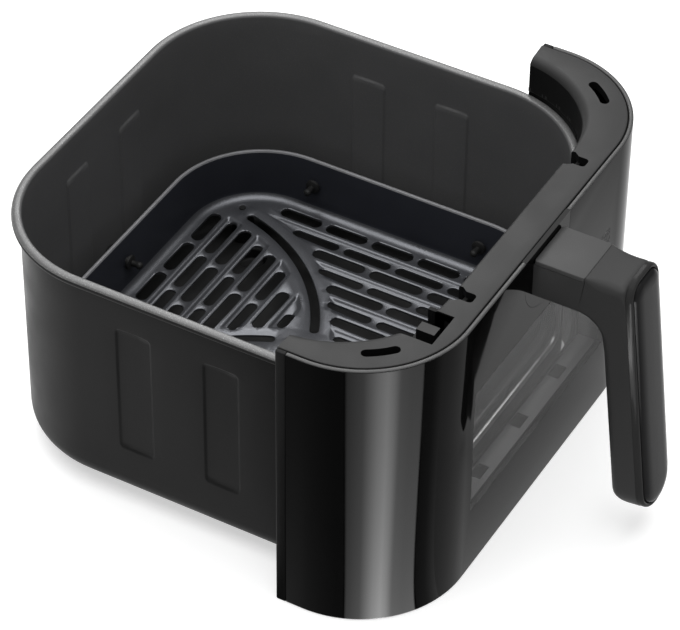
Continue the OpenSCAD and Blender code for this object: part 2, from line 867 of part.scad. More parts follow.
// A silicone plug through the tray's wall: pad outside, nub inside. X points outwards
module bumper() {
    pad = flat_half + 8.3;
    inner = flat_half + 4.7;
    color([0.07, 0.07, 0.07]) translate([0, 0, bumper_z]) rotate([0, 90, 0]) {
        translate([0, 0, pad]) cylinder(r = 5.5, h = pan_inside - clear - pad);
        translate([0, 0, inner - 0.1]) cylinder(r = bumper_hole_r, h = pad - inner + 0.2);
        translate([0, 0, inner - 1.5]) cylinder(r = 4, h = 1.5);
        translate([0, 0, inner - 6]) cylinder(r = 1.6, h = 4.6);
        translate([0, 0, inner - 6]) sphere(r = 2.1);
    }
}

// A silicone foot, snapped into the tray's corner hole
module stand(x, y) {
    under = tray_floor - tray_sheet;
    shoulder_z = under - valley_depth - clear;
    color([0.07, 0.07, 0.07]) translate([x * corner_hole, y * corner_hole, 0]) {
        translate([0, 0, pan_floor + clear]) cylinder(r = stand_r, h = shoulder_z - pan_floor - clear);
        translate([0, 0, shoulder_z - eps]) cylinder(r = stand_neck_r, h = under - shoulder_z + eps);
        translate([0, 0, under - eps]) cylinder(r = corner_hole_r, h = tray_sheet + 0.3);
    }
}

// ---------- the drawer ----------

pan();
pan_window_seal();
pan_window_glass();
pan_window_retainer();
pan_window_rivets();
pan_bracket();
bracket_nuts();
inner_frame();
outer_shell();
window_pane();
window_seal();
switch_actuator();
shell_screws();
handle_base();
handle_core();
core_screws();
handle_body();
arm_cover();
arm_screws();
handle_trim();
handle_face();
trim_screws();
tray();
translate([0, -bumper_y, 0]) rotate(180) bumper();  // bumper_left_front
translate([0, bumper_y, 0]) rotate(180) bumper();  // bumper_left_back
translate([0, -bumper_y, 0]) bumper();  // bumper_right_front
translate([0, bumper_y, 0]) bumper();  // bumper_right_back
rotate(-90) bumper();  // bumper_front
rotate(90) bumper();  // bumper_back
stand(-1, -1);  // foot_left_front
stand(-1, 1);  // foot_left_back
stand(1, -1);  // foot_right_front
stand(1, 1);  // foot_right_back
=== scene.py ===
"""The looks of an air fryer drawer: pan, crisper tray, front panel and handle.

Lengths in the making are millimetres, in the frame of the CAD model, and become metres in new_piece().
"""

from math import asin, atan2, cos, degrees, hypot, pi, radians, sin, sqrt, tan

import bmesh
import bpy
from mathutils import Matrix, Vector
from mathutils.geometry import delaunay_2d_cdt


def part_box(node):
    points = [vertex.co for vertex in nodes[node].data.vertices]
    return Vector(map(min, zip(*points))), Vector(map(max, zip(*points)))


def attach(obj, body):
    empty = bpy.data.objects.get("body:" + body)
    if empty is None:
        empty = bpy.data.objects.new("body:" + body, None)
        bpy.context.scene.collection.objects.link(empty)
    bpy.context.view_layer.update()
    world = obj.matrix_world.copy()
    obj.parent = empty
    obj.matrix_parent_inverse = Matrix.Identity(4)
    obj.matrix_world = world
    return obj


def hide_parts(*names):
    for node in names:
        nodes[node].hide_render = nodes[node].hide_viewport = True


MM = 0.001
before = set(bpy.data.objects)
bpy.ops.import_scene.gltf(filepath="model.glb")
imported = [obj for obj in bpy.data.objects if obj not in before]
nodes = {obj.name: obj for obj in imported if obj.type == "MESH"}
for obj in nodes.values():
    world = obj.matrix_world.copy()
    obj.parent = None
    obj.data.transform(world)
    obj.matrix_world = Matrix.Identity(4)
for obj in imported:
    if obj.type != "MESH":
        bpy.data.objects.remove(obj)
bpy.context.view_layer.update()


def box_mm(node):
    """Lowest and highest corner of a CAD node, in millimetres."""
    low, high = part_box(node)
    return low / MM, high / MM


# ---------- sizes, from the frame ----------

PAN_LOW, PAN_HIGH = box_mm("pan")
SHELL_LOW, SHELL_HIGH = box_mm("outer_shell")
FRAME_LOW, FRAME_HIGH = box_mm("inner_frame")
PANE_LOW, PANE_HIGH = box_mm("window_pane")
TRAY_LOW, TRAY_HIGH = box_mm("tray")
GRIP_LOW, GRIP_HIGH = box_mm("handle_body")
COVER_LOW, COVER_HIGH = box_mm("arm_cover")

# pan
RIM_OUT = 4.0
PAN_HALF = PAN_HIGH.x - RIM_OUT
PAN_TOP = PAN_HIGH.z
PAN_BASE = 7.0
PAN_CORNER = 61.0
PAN_SHEET = 1.2
PAN_FILLET = 12.5
RIM_R = 2.25
PAN_STRAIGHT = PAN_HALF - PAN_CORNER
EMBOSS_X = (15.0, 34.0)
EMBOSS_Z = (38.5, 116.0)
EMBOSS_DEPTH = 0.9
EMBOSS_CORNER = 3.0
EMBOSS_SOFT = 0.75
FOOT_AT = 70.0
FOOT_R = 9.0
PORT_HALF = 50.0
PORT_Z = (52.0, 104.0)
PORT_CORNER = 8.0

# front panel
PANEL_HALF = SHELL_HIGH.x
PANEL_FRONT = -SHELL_LOW.y
PANEL_CORNER = 57.0
PANEL_TOP = FRAME_HIGH.z
SHELL_TOP = SHELL_HIGH.z
SHELL_WALL = 2.4
WING_END = -FRAME_HIGH.y
STRIP = 6.0
SEAM = 0.4
LIP_SIDE = 119.4
LIP_FRONT = 117.0
LIP_CORNER = 58.0
LIP_LOW = PAN_TOP + 1.0
REAR_IN = 121.0
FRAME_WALL = 2.2
WINDOW_HALF = PANE_HIGH.x - 4.0
WINDOW_Z = (PANE_LOW.z + 4.0, PANE_HIGH.z - 4.0)
BASE_HALF = 23.0
BASE_MID = 145.5

# handle
GRIP_HALF = GRIP_HIGH.x
ARM_TOP = GRIP_HIGH.z
ARM_LOW = ARM_TOP - 23.0
ARM_END = -164.0
GRIP_TILT = radians(6.5)
GRIP_BACK = -174.0
GRIP_REF = 120.5
GRIP_T = 15.0
GRIP_BOTTOM = 17.0
TRIM_TOP = 160.0
TRIM_CORNER = 10.0
SHOULDER = 3.0
SHOULDER_Y = -185.0
BACK_CORNER = 12.0
TRIM_BEAD = 2.6
FACE_T = 5.4
ELBOW_R = 13.0
ELBOW = (-160.2, 121.5)

# tray
TRAY_HALF = TRAY_HIGH.x
TRAY_TOP = TRAY_HIGH.z
TRAY_FLOOR = 28.5
TRAY_SHEET = 1.5
VALLEY = 1.5
FLAT_HALF = 97.0
FLAT_CORNER = 37.0
TRAY_CORNER = 53.0
SWIRL_C = (-29.2, 101.1)
SWIRL_R = 110.6
SWIRL_W = 5.0
SWIRL_ENDS = ((16.6, 0.4), (78.2, 74.5))
FIELD_IN = 6.5
FIELD_OUT = 7.8
FIELD_LOW = 14.0
RIDGE_FIRST = 91.5
RIDGE_PITCH = 21.2
RIDGE_TOP_W = 10.4
SLOPE_W = 1.8
RIDGE_ROWS = ((5, -63.7, 24.6, 27.75), (3, -32.0, 31.0, 34.4), (2, -11.5, 33.0, 35.6), (1, 3.0, 32.0, 0.0))
VALLEY_ROWS = ((4, -50.5, 28.0, 31.2), (3, -22.3, 26.0, 29.2), (2, -4.8, 25.5, 29.0), (1, 10.4, 12.4, 0.0))
RIDGE_SLOT_W = 7.0
VALLEY_SLOT_W = 6.0
CORNER_HOLE = 83.0
CORNER_HOLE_R = 1.75
BUMPER_Z = 43.5
BUMPER_Y = 50.0


# ---------- making pieces ----------


def new_piece(name, points, faces, material, body, smooth=40, replaces=(), slot=None):
    """A mesh piece from points in millimetres, riding on a body. Edges over smooth degrees stay sharp."""
    mesh = bpy.data.meshes.new(name)
    mesh.from_pydata([tuple(Vector(p) * MM) for p in points], [], faces)
    bm = bmesh.new()
    bm.from_mesh(mesh)
    bmesh.ops.remove_doubles(bm, verts=bm.verts, dist=0.002 * MM)
    bmesh.ops.dissolve_degenerate(bm, edges=bm.edges, dist=0.0005 * MM)
    bmesh.ops.recalc_face_normals(bm, faces=bm.faces)
    bm.to_mesh(mesh)
    bm.free()
    piece = bpy.data.objects.new(name, mesh)
    bpy.context.scene.collection.objects.link(piece)
    mesh.materials.append(material)
    shade(piece, smooth)
    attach(piece, body)
    if replaces:
        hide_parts(*replaces)
    return piece


def shade(piece, angle):
    """Smooth shading, with edges sharper than angle degrees kept sharp."""
    mesh = piece.data
    mesh.shade_smooth()
    mesh.set_sharp_from_angle(angle=radians(angle))


def arc(cx, cy, r, start, end, steps):
    """Points of an arc from start to end, in degrees."""
    turns = [radians(start + (end - start) * k / steps) for k in range(steps + 1)]
    return [(cx + r * cos(t), cy + r * sin(t)) for t in turns]


def skin(rings, closed_ring=True, closed_path=False):
    """Faces between equal rings of points, as (points, faces)."""
    count = len(rings[0])
    points = [p for ring in rings for p in ring]
    faces = []
    spans = len(rings) if closed_path else len(rings) - 1
    for i in range(spans):
        here, there = i * count, (i + 1) % len(rings) * count
        for j in range(count if closed_ring else count - 1):
            k = (j + 1) % count
            faces.append((here + j, here + k, there + k, there + j))
    return points, faces


def joined(*parts):
    """Several (points, faces) as one."""
    points, faces = [], []
    for some_points, some_faces in parts:
        start = len(points)
        points += some_points
        faces += [tuple(start + i for i in face) for face in some_faces]
    return points, faces


def filled(outline, holes=(), z=0.0, creases=()):
    """A flat triangulated face at height z inside outline, without the holes. Loops are lists of (x, y)."""
    loops = [outline, *holes]
    flat, edges = [], []
    for loop in loops:
        start = len(flat)
        flat += [Vector(p) for p in loop]
        edges += [(start + i, start + (i + 1) % len(loop)) for i in range(len(loop))]
    for a, b in creases:
        edges.append((len(flat), len(flat) + 1))
        flat += [Vector(a), Vector(b)]
    points, _, faces, *_ = delaunay_2d_cdt(flat, edges, [], 0, 1e-5)
    kept = []
    for face in faces:
        middle = sum((points[i] for i in face), Vector((0, 0))) / len(face)
        if inside(middle, outline) and not any(inside(middle, hole) for hole in holes):
            kept.append(tuple(face))
    return [(p.x, p.y, z) for p in points], kept


def inside(point, loop):
    """Whether an (x, y) point is inside a loop."""
    x, y = point
    odd = False
    for i, (x1, y1) in enumerate(loop):
        x2, y2 = loop[i - 1]
        if (y1 > y) != (y2 > y) and x < (x2 - x1) * (y - y1) / (y2 - y1) + x1:
            odd = not odd
    return odd


def at_height(loop, z):
    return [(x, y, z) for x, y in loop]


def round_square(half, corner, steps=24, straight=None):
    """A square with round corners, anticlockwise from the right. straight lists stops along each side."""
    run = half - corner
    stops = straight or [-run, run]
    loop = []
    for quarter in range(4):
        turn = pi / 2 * quarter
        side = [(half, t) for t in stops]
        bend = arc(run, run, corner, 0, 90, steps)[1:-1]
        loop += [(x * cos(turn) - y * sin(turn), x * sin(turn) + y * cos(turn)) for x, y in side + bend]
    return loop


def rounded_box(low, high, r, steps=3):
    """A box with round vertical edges and a small round at its top and bottom edges, as (points, faces)."""
    cx, cy = (low[0] + high[0]) / 2, (low[1] + high[1]) / 2
    a, b = (high[0] - low[0]) / 2, (high[1] - low[1]) / 2

    def ring(inset, z):
        rr = max(r - inset, 0.05)
        loop = []
        for sx, sy, start in ((1, 1, 0), (-1, 1, 90), (-1, -1, 180), (1, -1, 270)):
            loop += arc(cx + sx * (a - inset - rr), cy + sy * (b - inset - rr), rr, start, start + 90, steps)
        return at_height(loop, z)

    edge = min(r, 0.5)
    lower = [ring(edge * (1 - sin(t * pi / 6)), low[2] + edge * (1 - cos(t * pi / 6))) for t in range(4)]
    upper = [ring(edge * (1 - cos(t * pi / 6)), high[2] - edge * (1 - sin(t * pi / 6))) for t in range(4)]
    rings = lower + upper
    return ends_closed(*skin(rings), len(rings[0]))


def cutter(points, faces):
    """A mesh object for a boolean, removed by cut()."""
    mesh = bpy.data.meshes.new("cutter")
    mesh.from_pydata([tuple(Vector(p) * MM) for p in points], [], faces)
    bm = bmesh.new()
    bm.from_mesh(mesh)
    bmesh.ops.recalc_face_normals(bm, faces=bm.faces)
    bm.to_mesh(mesh)
    bm.free()
    tool = bpy.data.objects.new("cutter", mesh)
    bpy.context.scene.collection.objects.link(tool)
    return tool


def prism(loop, low, high, place=lambda x, y, z: (x, y, z)):
    """A closed prism over a loop from low to high. place() turns (x, y, height) into a point."""
    rings = [[place(x, y, h) for x, y in loop] for h in (low, high)]
    return ends_closed(*skin(rings), len(loop))


def cut(piece, parts, smooth=40):
    """Takes the parts out of the piece, each a closed (points, faces)."""
    tool = cutter(*joined(*parts))
    change = piece.modifiers.new("cut", "BOOLEAN")
    change.operation = "DIFFERENCE"
    change.solver = "EXACT"
    change.use_self = True
    change.object = tool
    bpy.context.view_layer.update()
    shaped = bpy.data.meshes.new_from_object(piece.evaluated_get(bpy.context.evaluated_depsgraph_get()))
    piece.modifiers.clear()
    materials = list(piece.data.materials)
    old = piece.data
    piece.data = shaped
    shaped.materials.clear()
    for material in materials:
        shaped.materials.append(material)
    bpy.data.meshes.remove(old)
    spare = tool.data
    bpy.data.objects.remove(tool)
    bpy.data.meshes.remove(spare)
    shade(piece, smooth)


def upright(x, z, y):
    """Puts a loop's (x, z) at depth y."""
    return (x, y, z)


def ends_closed(points, faces, count):
    """Closes the first and the last ring of count points."""
    faces.append(tuple(range(count))[::-1])
    faces.append(tuple(range(len(points) - count, len(points))))
    return points, faces


# ---------- materials ----------


def material(name, color, rough, metallic=0.0, grain=900, bump=0.15, mottle=0.12, rough_spread=0.06,
             specular=0.5, flecks=0.0, streaks=0.0):
    """A moulded or coated surface: colour that varies a little, a fine grain and uneven gloss.

    grain is the grain's spots per metre, flecks the strength of fine pale specks, streaks of brushed lines.
    """
    made = bpy.data.materials.new(name)
    made.use_nodes = True
    tree = made.node_tree
    shader = tree.nodes["Principled BSDF"]
    shader.inputs["Metallic"].default_value = metallic
    shader.inputs["Specular IOR Level"].default_value = specular
    made.diffuse_color = (*color, 1)

    def node(kind, **values):
        item = tree.nodes.new(kind)
        for key, value in values.items():
            setattr(item, key, value)
        return item

    place = node("ShaderNodeTexCoord")
    spread = node("ShaderNodeMapping")
    spread.inputs["Scale"].default_value = (1, 1, 0.06) if streaks else (1, 1, 1)
    tree.links.new(place.outputs["Object"], spread.inputs["Vector"])

    def noise(scale, detail):
        item = node("ShaderNodeTexNoise")
        item.inputs["Scale"].default_value = scale
        item.inputs["Detail"].default_value = detail
        tree.links.new(spread.outputs["Vector"], item.inputs["Vector"])
        return item

    def ranged(source, low, high, start=0.3, end=0.7):
        item = node("ShaderNodeMapRange")
        item.inputs["From Min"].default_value = start
        item.inputs["From Max"].default_value = end
        item.inputs["To Min"].default_value = low
        item.inputs["To Max"].default_value = high
        tree.links.new(source, item.inputs["Value"])
        return item

    cloud = noise(38, 4)
    fine = noise(grain, 3)
    tint = node("ShaderNodeMix", data_type="RGBA")
    tint.inputs["A"].default_value = (*[c * (1 - mottle) for c in color], 1)
    tint.inputs["B"].default_value = (*[min(c * (1 + mottle), 1) for c in color], 1)
    tree.links.new(cloud.outputs["Fac"], tint.inputs["Factor"])
    colour = tint.outputs["Result"]
    if flecks:
        speck = node("ShaderNodeMix", data_type="RGBA")
        speck.inputs["B"].default_value = (*[min(c * 3 + 0.03, 1) for c in color], 1)
        tree.links.new(colour, speck.inputs["A"])
        spots = ranged(noise(grain * 1.7, 1).outputs["Fac"], 0, flecks, 0.6, 0.78)
        tree.links.new(spots.outputs["Result"], speck.inputs["Factor"])
        colour = speck.outputs["Result"]
    tree.links.new(colour, shader.inputs["Base Color"])
    gloss = ranged(cloud.outputs["Fac"], rough - rough_spread, rough + rough_spread)
    tree.links.new(gloss.outputs["Result"], shader.inputs["Roughness"])
    relief = node("ShaderNodeBump")
    relief.inputs["Strength"].default_value = bump
    relief.inputs["Distance"].default_value = 0.0002
    tree.links.new(fine.outputs["Fac"], relief.inputs["Height"])
    tree.links.new(relief.outputs["Normal"], shader.inputs["Normal"])
    return made


def glass(name, color, rough, alpha, specular):
    """Thin tinted glass: mostly see-through, with a gloss and a faint film that varies."""
    made = material(name, color, rough, grain=400, bump=0.001, mottle=0.1, rough_spread=0.01,
                    specular=specular)
    shader = made.node_tree.nodes["Principled BSDF"]
    shader.inputs["Alpha"].default_value = alpha
    return made


PAN = material("pan_coating", (0.085, 0.085, 0.086), 0.42, grain=1500, bump=0.25, flecks=0.2, specular=0.3)
# A darker copy of the pan coating for the floor and its lower fillet: painted shade under the tray.
PAN_FLOOR_SHADE = material("pan_floor", (0.02, 0.02, 0.02), 0.42, grain=1500, bump=0.25, flecks=0.2, specular=0.2)
PAN_OUTSIDE = material("pan_outside", (0.0135, 0.0135, 0.0135), 0.38, grain=1500, bump=0.2, flecks=0.15,
                       specular=0.06)
# A lighter, flecked copy of the coating for the rim's upward faces: painted highlight.
RIM_HIGHLIGHT = material("pan_rim_highlight", (0.12, 0.12, 0.12), 0.4, metallic=0.3, grain=1400, bump=0.3, flecks=0.8,
               specular=0.3)
TRAY = material("tray_coating", (0.1, 0.103, 0.112), 0.33, metallic=0.7, grain=1500, bump=0.25, flecks=0.3)
# A darker copy of the tray coating for its walls: painted shade.
TRAY_WALL_SHADE = material("tray_wall_shade", (0.03, 0.032, 0.04), 0.36, metallic=0.5, grain=1500, bump=0.25,
                     specular=0.3)
# A lighter copy of the tray coating for its top edge: a painted highlight line.
TRAY_EDGE_HIGHLIGHT = material("tray_edge_highlight", (0.25, 0.25, 0.26), 0.35, metallic=0.3, grain=1500, bump=0.2)
FRAME = material("frame_plastic", (0.024, 0.024, 0.024), 0.55, grain=1400, bump=0.3, mottle=0.06,
                 specular=0.25)
# A darker copy of the frame plastic: painted shade on steep, downward and tucked-away faces.
FRAME_SHADE = material("frame_shade", (0.007, 0.007, 0.007), 0.5, grain=1400, bump=0.3, mottle=0.1,
                      specular=0.1)
SHELL = material("shell_gloss", (0.002, 0.002, 0.002), 0.06, grain=60, bump=0.01,
                 rough_spread=0.02, specular=0.03)
# A lighter, rougher copy for the shell's upward faces: painted highlight.
SHELL_TOP_HIGHLIGHT = material("shell_top_highlight", (0.04, 0.04, 0.04), 0.4, grain=800, bump=0.05, specular=0.3)
HANDLE = material("handle_plastic", (0.034, 0.034, 0.034), 0.42, grain=1600, bump=0.25,
                  mottle=0.08, specular=0.08)
COVER = material("cover_plastic", (0.047, 0.047, 0.047), 0.6, grain=1500, bump=0.35, mottle=0.06,
                 specular=0.25)
TRIM = material("trim_gloss", (0.026, 0.026, 0.026), 0.1, grain=80, bump=0.02, rough_spread=0.03,
                specular=0.02)
FACE = material("face_metallic", (0.014, 0.014, 0.0143), 0.16, grain=2200, bump=0.04, flecks=0.15,
                specular=0.028)
# A light grey for the tunnel floor's upward faces: painted light seen through the pane.
TUNNEL_FLOOR_LIT = material("tunnel_floor_lit", (0.4, 0.4, 0.4), 0.5, grain=900, bump=0.2)
STEEL = material("bracket_steel", (0.5, 0.5, 0.5), 0.35, metallic=1, grain=500, bump=0.1, streaks=1)
FASTENER = material("fastener_steel", (0.55, 0.55, 0.56), 0.3, metallic=1, grain=700, bump=0.08)
RUBBER = material("bumper_silicone", (0.008, 0.008, 0.008), 0.6, grain=1300, bump=0.2, specular=0.3)
SEAL = material("seal_silicone", (0.02, 0.02, 0.02), 0.65, grain=1100, bump=0.2)
PANE = glass("tinted_pane", (0.01, 0.01, 0.01), 0.05, 0.4, 0.14)
CLEAR = glass("clear_glass", (0.02, 0.022, 0.022), 0.06, 0.3, 0.1)

CAD_LOOKS = {
    "pan": PAN, "pan_window_seal": SEAL, "pan_window_glass": CLEAR, "pan_window_retainer": STEEL,
    "pan_window_rivets": FASTENER, "pan_bracket": STEEL, "bracket_nuts": FASTENER, "inner_frame": FRAME,
    "outer_shell": SHELL, "window_pane": PANE, "window_seal": SEAL, "switch_actuator": FRAME,
    "shell_screws": FASTENER, "handle_base": SHELL, "handle_core": STEEL, "core_screws": FASTENER,
    "handle_body": HANDLE, "arm_cover": COVER, "arm_screws": FASTENER, "handle_trim": TRIM,
    "handle_face": FACE, "trim_screws": FASTENER, "tray": TRAY,
    **{f"bumper_{side}": RUBBER for side in (
        "left_front", "left_back", "right_front", "right_back", "front", "back")},
    **{f"foot_{side}": RUBBER for side in ("left_front", "left_back", "right_front", "right_back")},
}


def dress_cad():
    """Gives every CAD node its material."""
    for name, look in CAD_LOOKS.items():
        node = nodes[name]
        node.data.materials.clear()
        node.data.materials.append(look)
    # Faces of the switch that don't face up get the darker copy: painted shade.
    paint(nodes["switch_actuator"], [FRAME_SHADE], lambda centre, normal: int(normal.z < 0.5))


# ---------- pan ----------


def emboss_mask(x, z):
    """1 on the embossed uprights, 0 off them, with soft edges and round corners."""
    half_x, half_z = (EMBOSS_X[1] - EMBOSS_X[0]) / 2, (EMBOSS_Z[1] - EMBOSS_Z[0]) / 2
    dx = abs(abs(x) - sum(EMBOSS_X) / 2) - half_x + EMBOSS_CORNER
    dz = abs(z - sum(EMBOSS_Z) / 2) - half_z + EMBOSS_CORNER
    out = hypot(max(dx, 0), max(dz, 0)) + min(max(dx, dz), 0) - EMBOSS_CORNER
    t = min(max(0.5 - out / (2 * EMBOSS_SOFT), 0), 1)
    return t * t * (3 - 2 * t)


def pan_stops():
    """Stops along a side: close together at the edges of the embossed uprights."""
    fine = [e + s * 0.3 for e in EMBOSS_X for s in range(-3, 4)]
    stops = [*fine, 22.0, 27.0, 44.0, 5.0]
    return sorted([-s for s in stops] + stops + [-PAN_STRAIGHT, PAN_STRAIGHT, 0.0])


def pan_heights():
    fine = [e + s * 0.3 for e in EMBOSS_Z for s in range(-3, 4)] + [41.0, 42.0, 112.5, 113.5]
    return sorted([*fine, 25.0, 30.0, *range(50, 111, 10), 125.0, 131.0])


def pan_rings():
    """The pan's profile as rings, from the base's outer edge over the rim to the floor's inner edge."""
    centre = PAN_BASE + PAN_FILLET
    walls = pan_heights()
    outer = [(0.0, z) for z in walls]
    rim = arc(-RIM_OUT + RIM_R, PAN_TOP - RIM_R, RIM_R, -40, -268, 22)
    inner_top = arc(PAN_SHEET - 1.6, PAN_TOP - 1.6, 1.6, 84, 0, 6)
    inner = [(PAN_SHEET, z) for z in reversed(walls)]
    base_out = arc(PAN_FILLET, centre, PAN_FILLET, 270, 180, 10)
    base_in = arc(PAN_FILLET, centre, PAN_FILLET - PAN_SHEET, 180, 270, 10)
    return base_out + outer + rim + inner_top + inner + base_in


def pan_loop(inset, z, stops):
    """One ring of the pan, pushed in where the walls are embossed."""
    loop = round_square(PAN_HALF - inset, PAN_CORNER - inset, 24, stops)
    side = len(stops)
    ring = []
    for i, (x, y) in enumerate(loop):
        quarter, k = divmod(i, len(loop) // 4)
        if k < side and quarter != 3:
            push = EMBOSS_DEPTH * emboss_mask(stops[k], z)
            turn = pi / 2 * quarter
            x, y = x - push * cos(turn), y - push * sin(turn)
        ring.append((x, y, z))
    return ring


def circle(cx, cy, r, steps=32):
    return arc(cx, cy, r, 0, 360, steps)[:-1]


def pressed_feet(floor, sheet_inside):
    """Walls and soles of the pan's four pressed feet, with a small round at each edge."""
    r = FOOT_R - (PAN_SHEET if sheet_inside else 0)
    sole = PAN_SHEET if sheet_inside else 0.0
    parts = []
    for cx in (-FOOT_AT, FOOT_AT):
        for cy in (-FOOT_AT, FOOT_AT):
            profile = [(r + 1.5, floor)]
            profile += arc(r + 1.5, floor - 1.5, 1.5, 90, 180, 4)
            profile += arc(r - 1.5, sole + 1.5, 1.5, 0, -90, 4)
            rings = [at_height(circle(cx, cy, pr), pz) for pr, pz in profile]
            points, faces = skin(rings)
            faces.append(tuple(range(len(points) - 32, len(points))))
            parts.append((points, faces))
    return joined(*parts)


def foot_mouths(r):
    return [circle(cx, cy, r + 1.5) for cx in (-FOOT_AT, FOOT_AT) for cy in (-FOOT_AT, FOOT_AT)]


def round_rect(x0, x1, y0, y1, r, steps=8):
    loop = []
    corners = ((x1 - r, y1 - r, 0), (x0 + r, y1 - r, 90), (x0 + r, y0 + r, 180), (x1 - r, y0 + r, 270))
    for cx, cy, start in corners:
        loop += arc(cx, cy, r, start, start + 90, steps)
    return loop


def make_pan():
    stops = pan_stops()
    profile = pan_rings()
    rings = [pan_loop(inset, z, stops) for inset, z in profile]
    walls = skin(rings)
    under = [(x, y) for x, y, _ in rings[0]]
    floor = [(x, y) for x, y, _ in rings[-1]]
    floor_z = PAN_BASE + PAN_SHEET
    base = filled(under, foot_mouths(FOOT_R), PAN_BASE)
    top = filled(floor, foot_mouths(FOOT_R - PAN_SHEET), floor_z)
    points, faces = joined(walls, base, top, pressed_feet(PAN_BASE, False), pressed_feet(floor_z, True))
    piece = new_piece("pan_body", points, faces, PAN, "drawer", 35, ["pan"], "pan_coating")
    port = round_rect(-PORT_HALF, PORT_HALF, *PORT_Z, PORT_CORNER)
    rivets = [circle(x, z, 1.5, 16) for x in (-34, 34) for z in (PORT_Z[0] - 8.3, PORT_Z[1] + 8.3)]
    cut(piece, [prism(loop, -PAN_HALF - 2, -PAN_HALF + 4, upright) for loop in [port, *rivets]], 35)
    # The rim's upward faces get a painted highlight and the floor a painted shade.
    paint(piece, [PAN_OUTSIDE, RIM_HIGHLIGHT, PAN_FLOOR_SHADE], pan_look)


def pan_look(centre, normal):
    """Which of the pan's materials a face has: 0 inside, 1 outside, 2 a lighter copy on the rolled rim's
    upward faces as a painted highlight, 3 a darker copy on the floor and its lower fillet as painted shade
    under the tray.
    """
    x, y = abs(centre.x), abs(centre.y)
    side = max(x, y, hypot(max(x - 55, 0), max(y - 55, 0)) + 55)
    # Upward faces of the rolled rim take the lighter copy: painted highlight.
    if centre.z > PAN_TOP - RIM_R and normal.z > 0.4 and side > PAN_HALF - 0.6:
        return 2
    if centre.z < PAN_BASE + PAN_SHEET / 2 and normal.z < 0.5:
        return 1
    # The floor and its lower fillet take the darker copy: painted shade under the tray.
    if normal.z > 0.3 and centre.z < PAN_BASE + PAN_SHEET + 12:
        return 3
    return int(normal.x * centre.x + normal.y * centre.y > 0 and centre.z > PAN_BASE)


def paint(piece, looks, choose):
    """Gives a piece more materials, chosen for each face from its centre in millimetres and its normal."""
    for look in looks:
        piece.data.materials.append(look)
    for polygon in piece.data.polygons:
        polygon.material_index = choose(polygon.center / MM, polygon.normal)


# ---------- tray ----------


def turned(loop, quarter):
    c, s = ((1, 0), (0, 1), (-1, 0), (0, -1))[quarter]
    return [(x * c - y * s, x * s + y * c) for x, y in loop]


def slot_loop(x0, length, y, width, grow=0.0):
    r = width / 2 + grow
    left = arc(x0 + width / 2, y, r, 90, 270, 8)
    right = arc(x0 + length - width / 2, y, r, -90, 90, 8)
    return left + right


def swirl_loop(grow=0.0):
    """The curved slot of one field."""
    start, end = (atan2(y - SWIRL_C[1], x - SWIRL_C[0]) for x, y in SWIRL_ENDS)
    half = SWIRL_W / 2 + grow

    def spot(turn, out):
        return (SWIRL_C[0] + (SWIRL_R + out) * cos(turn), SWIRL_C[1] + (SWIRL_R + out) * sin(turn))

    steps = 28
    turns = [start + (end - start) * k / steps for k in range(steps + 1)]
    loop = [spot(t, half) for t in turns]
    loop += arc(*spot(end, 0), half, degrees(end), degrees(end) + 180, 8)[1:-1]
    loop += [spot(t, -half) for t in reversed(turns)]
    loop += arc(*spot(start, 0), half, degrees(start) + 180, degrees(start) + 360, 8)[1:-1]
    return loop


def field_slots(grow=0.0):
    loops = []
    for row, (count, first, length, pitch) in enumerate(RIDGE_ROWS):
        y = RIDGE_FIRST - row * RIDGE_PITCH
        loops += [slot_loop(first + k * pitch, length, y, RIDGE_SLOT_W, grow) for k in range(count)]
    for row, (count, first, length, pitch) in enumerate(VALLEY_ROWS):
        y = RIDGE_FIRST - (row + 0.5) * RIDGE_PITCH
        loops += [slot_loop(first + k * pitch, length, y, VALLEY_SLOT_W, grow) for k in range(count)]
    loops.append(swirl_loop(grow))
    loops.append(circle(CORNER_HOLE, CORNER_HOLE, CORNER_HOLE_R + grow, 16))
    return loops


def field_distance(x, y):
    """How far inside the ribbed field a point of the back sector is, in millimetres. Negative outside."""
    first = SWIRL_R - FIELD_IN - hypot(x - SWIRL_C[0], y - SWIRL_C[1])
    second = hypot(x + SWIRL_C[1], y - SWIRL_C[0]) - SWIRL_R - FIELD_OUT
    wall = FLAT_HALF - 1.5
    corner = wall - FLAT_CORNER
    dx, dy = max(abs(x) - corner, 0), max(abs(y) - corner, 0)
    return min(first, second, y - FIELD_LOW, FLAT_CORNER - hypot(dx, dy))


def valley_drop(y):
    """How far the sheet drops below the ridges at y in the back sector."""
    phase = (RIDGE_FIRST - y) / RIDGE_PITCH
    if not 0 < phase < 4:
        return 0.0
    off = abs(phase % 1 - 0.5) * RIDGE_PITCH
    flat = (RIDGE_PITCH - RIDGE_TOP_W) / 2 - SLOPE_W
    t = min(max((flat + SLOPE_W - off) / SLOPE_W, 0), 1)
    return VALLEY * t * t * (3 - 2 * t)


def tray_height(x, y):
    """The floor's top surface over the whole tray."""
    drop = 0.0
    for u, v in ((x, y), (y, -x), (-x, -y), (-y, x)):
        deep = field_distance(u, v)
        if deep > 0:
            t = min(deep / 3.0, 1)
            drop = max(drop, valley_drop(v) * t * t * (3 - 2 * t))
    return TRAY_FLOOR - drop


def field_outline(depth, steps=36):
    """Points where the ribbed field is depth deep, by walking out from its middle along rays."""
    middle = Vector((14.0, 60.0))
    loop = []
    for k in range(4 * steps):
        turn = 2 * pi * k / (4 * steps)
        way = Vector((cos(turn), sin(turn)))
        near, far = 0.0, 140.0
        for _ in range(26):
            half = (near + far) / 2
            if field_distance(*(middle + way * half)) > depth:
                near = half
            else:
                far = half
        loop.append(tuple(middle + way * near))
    return loop


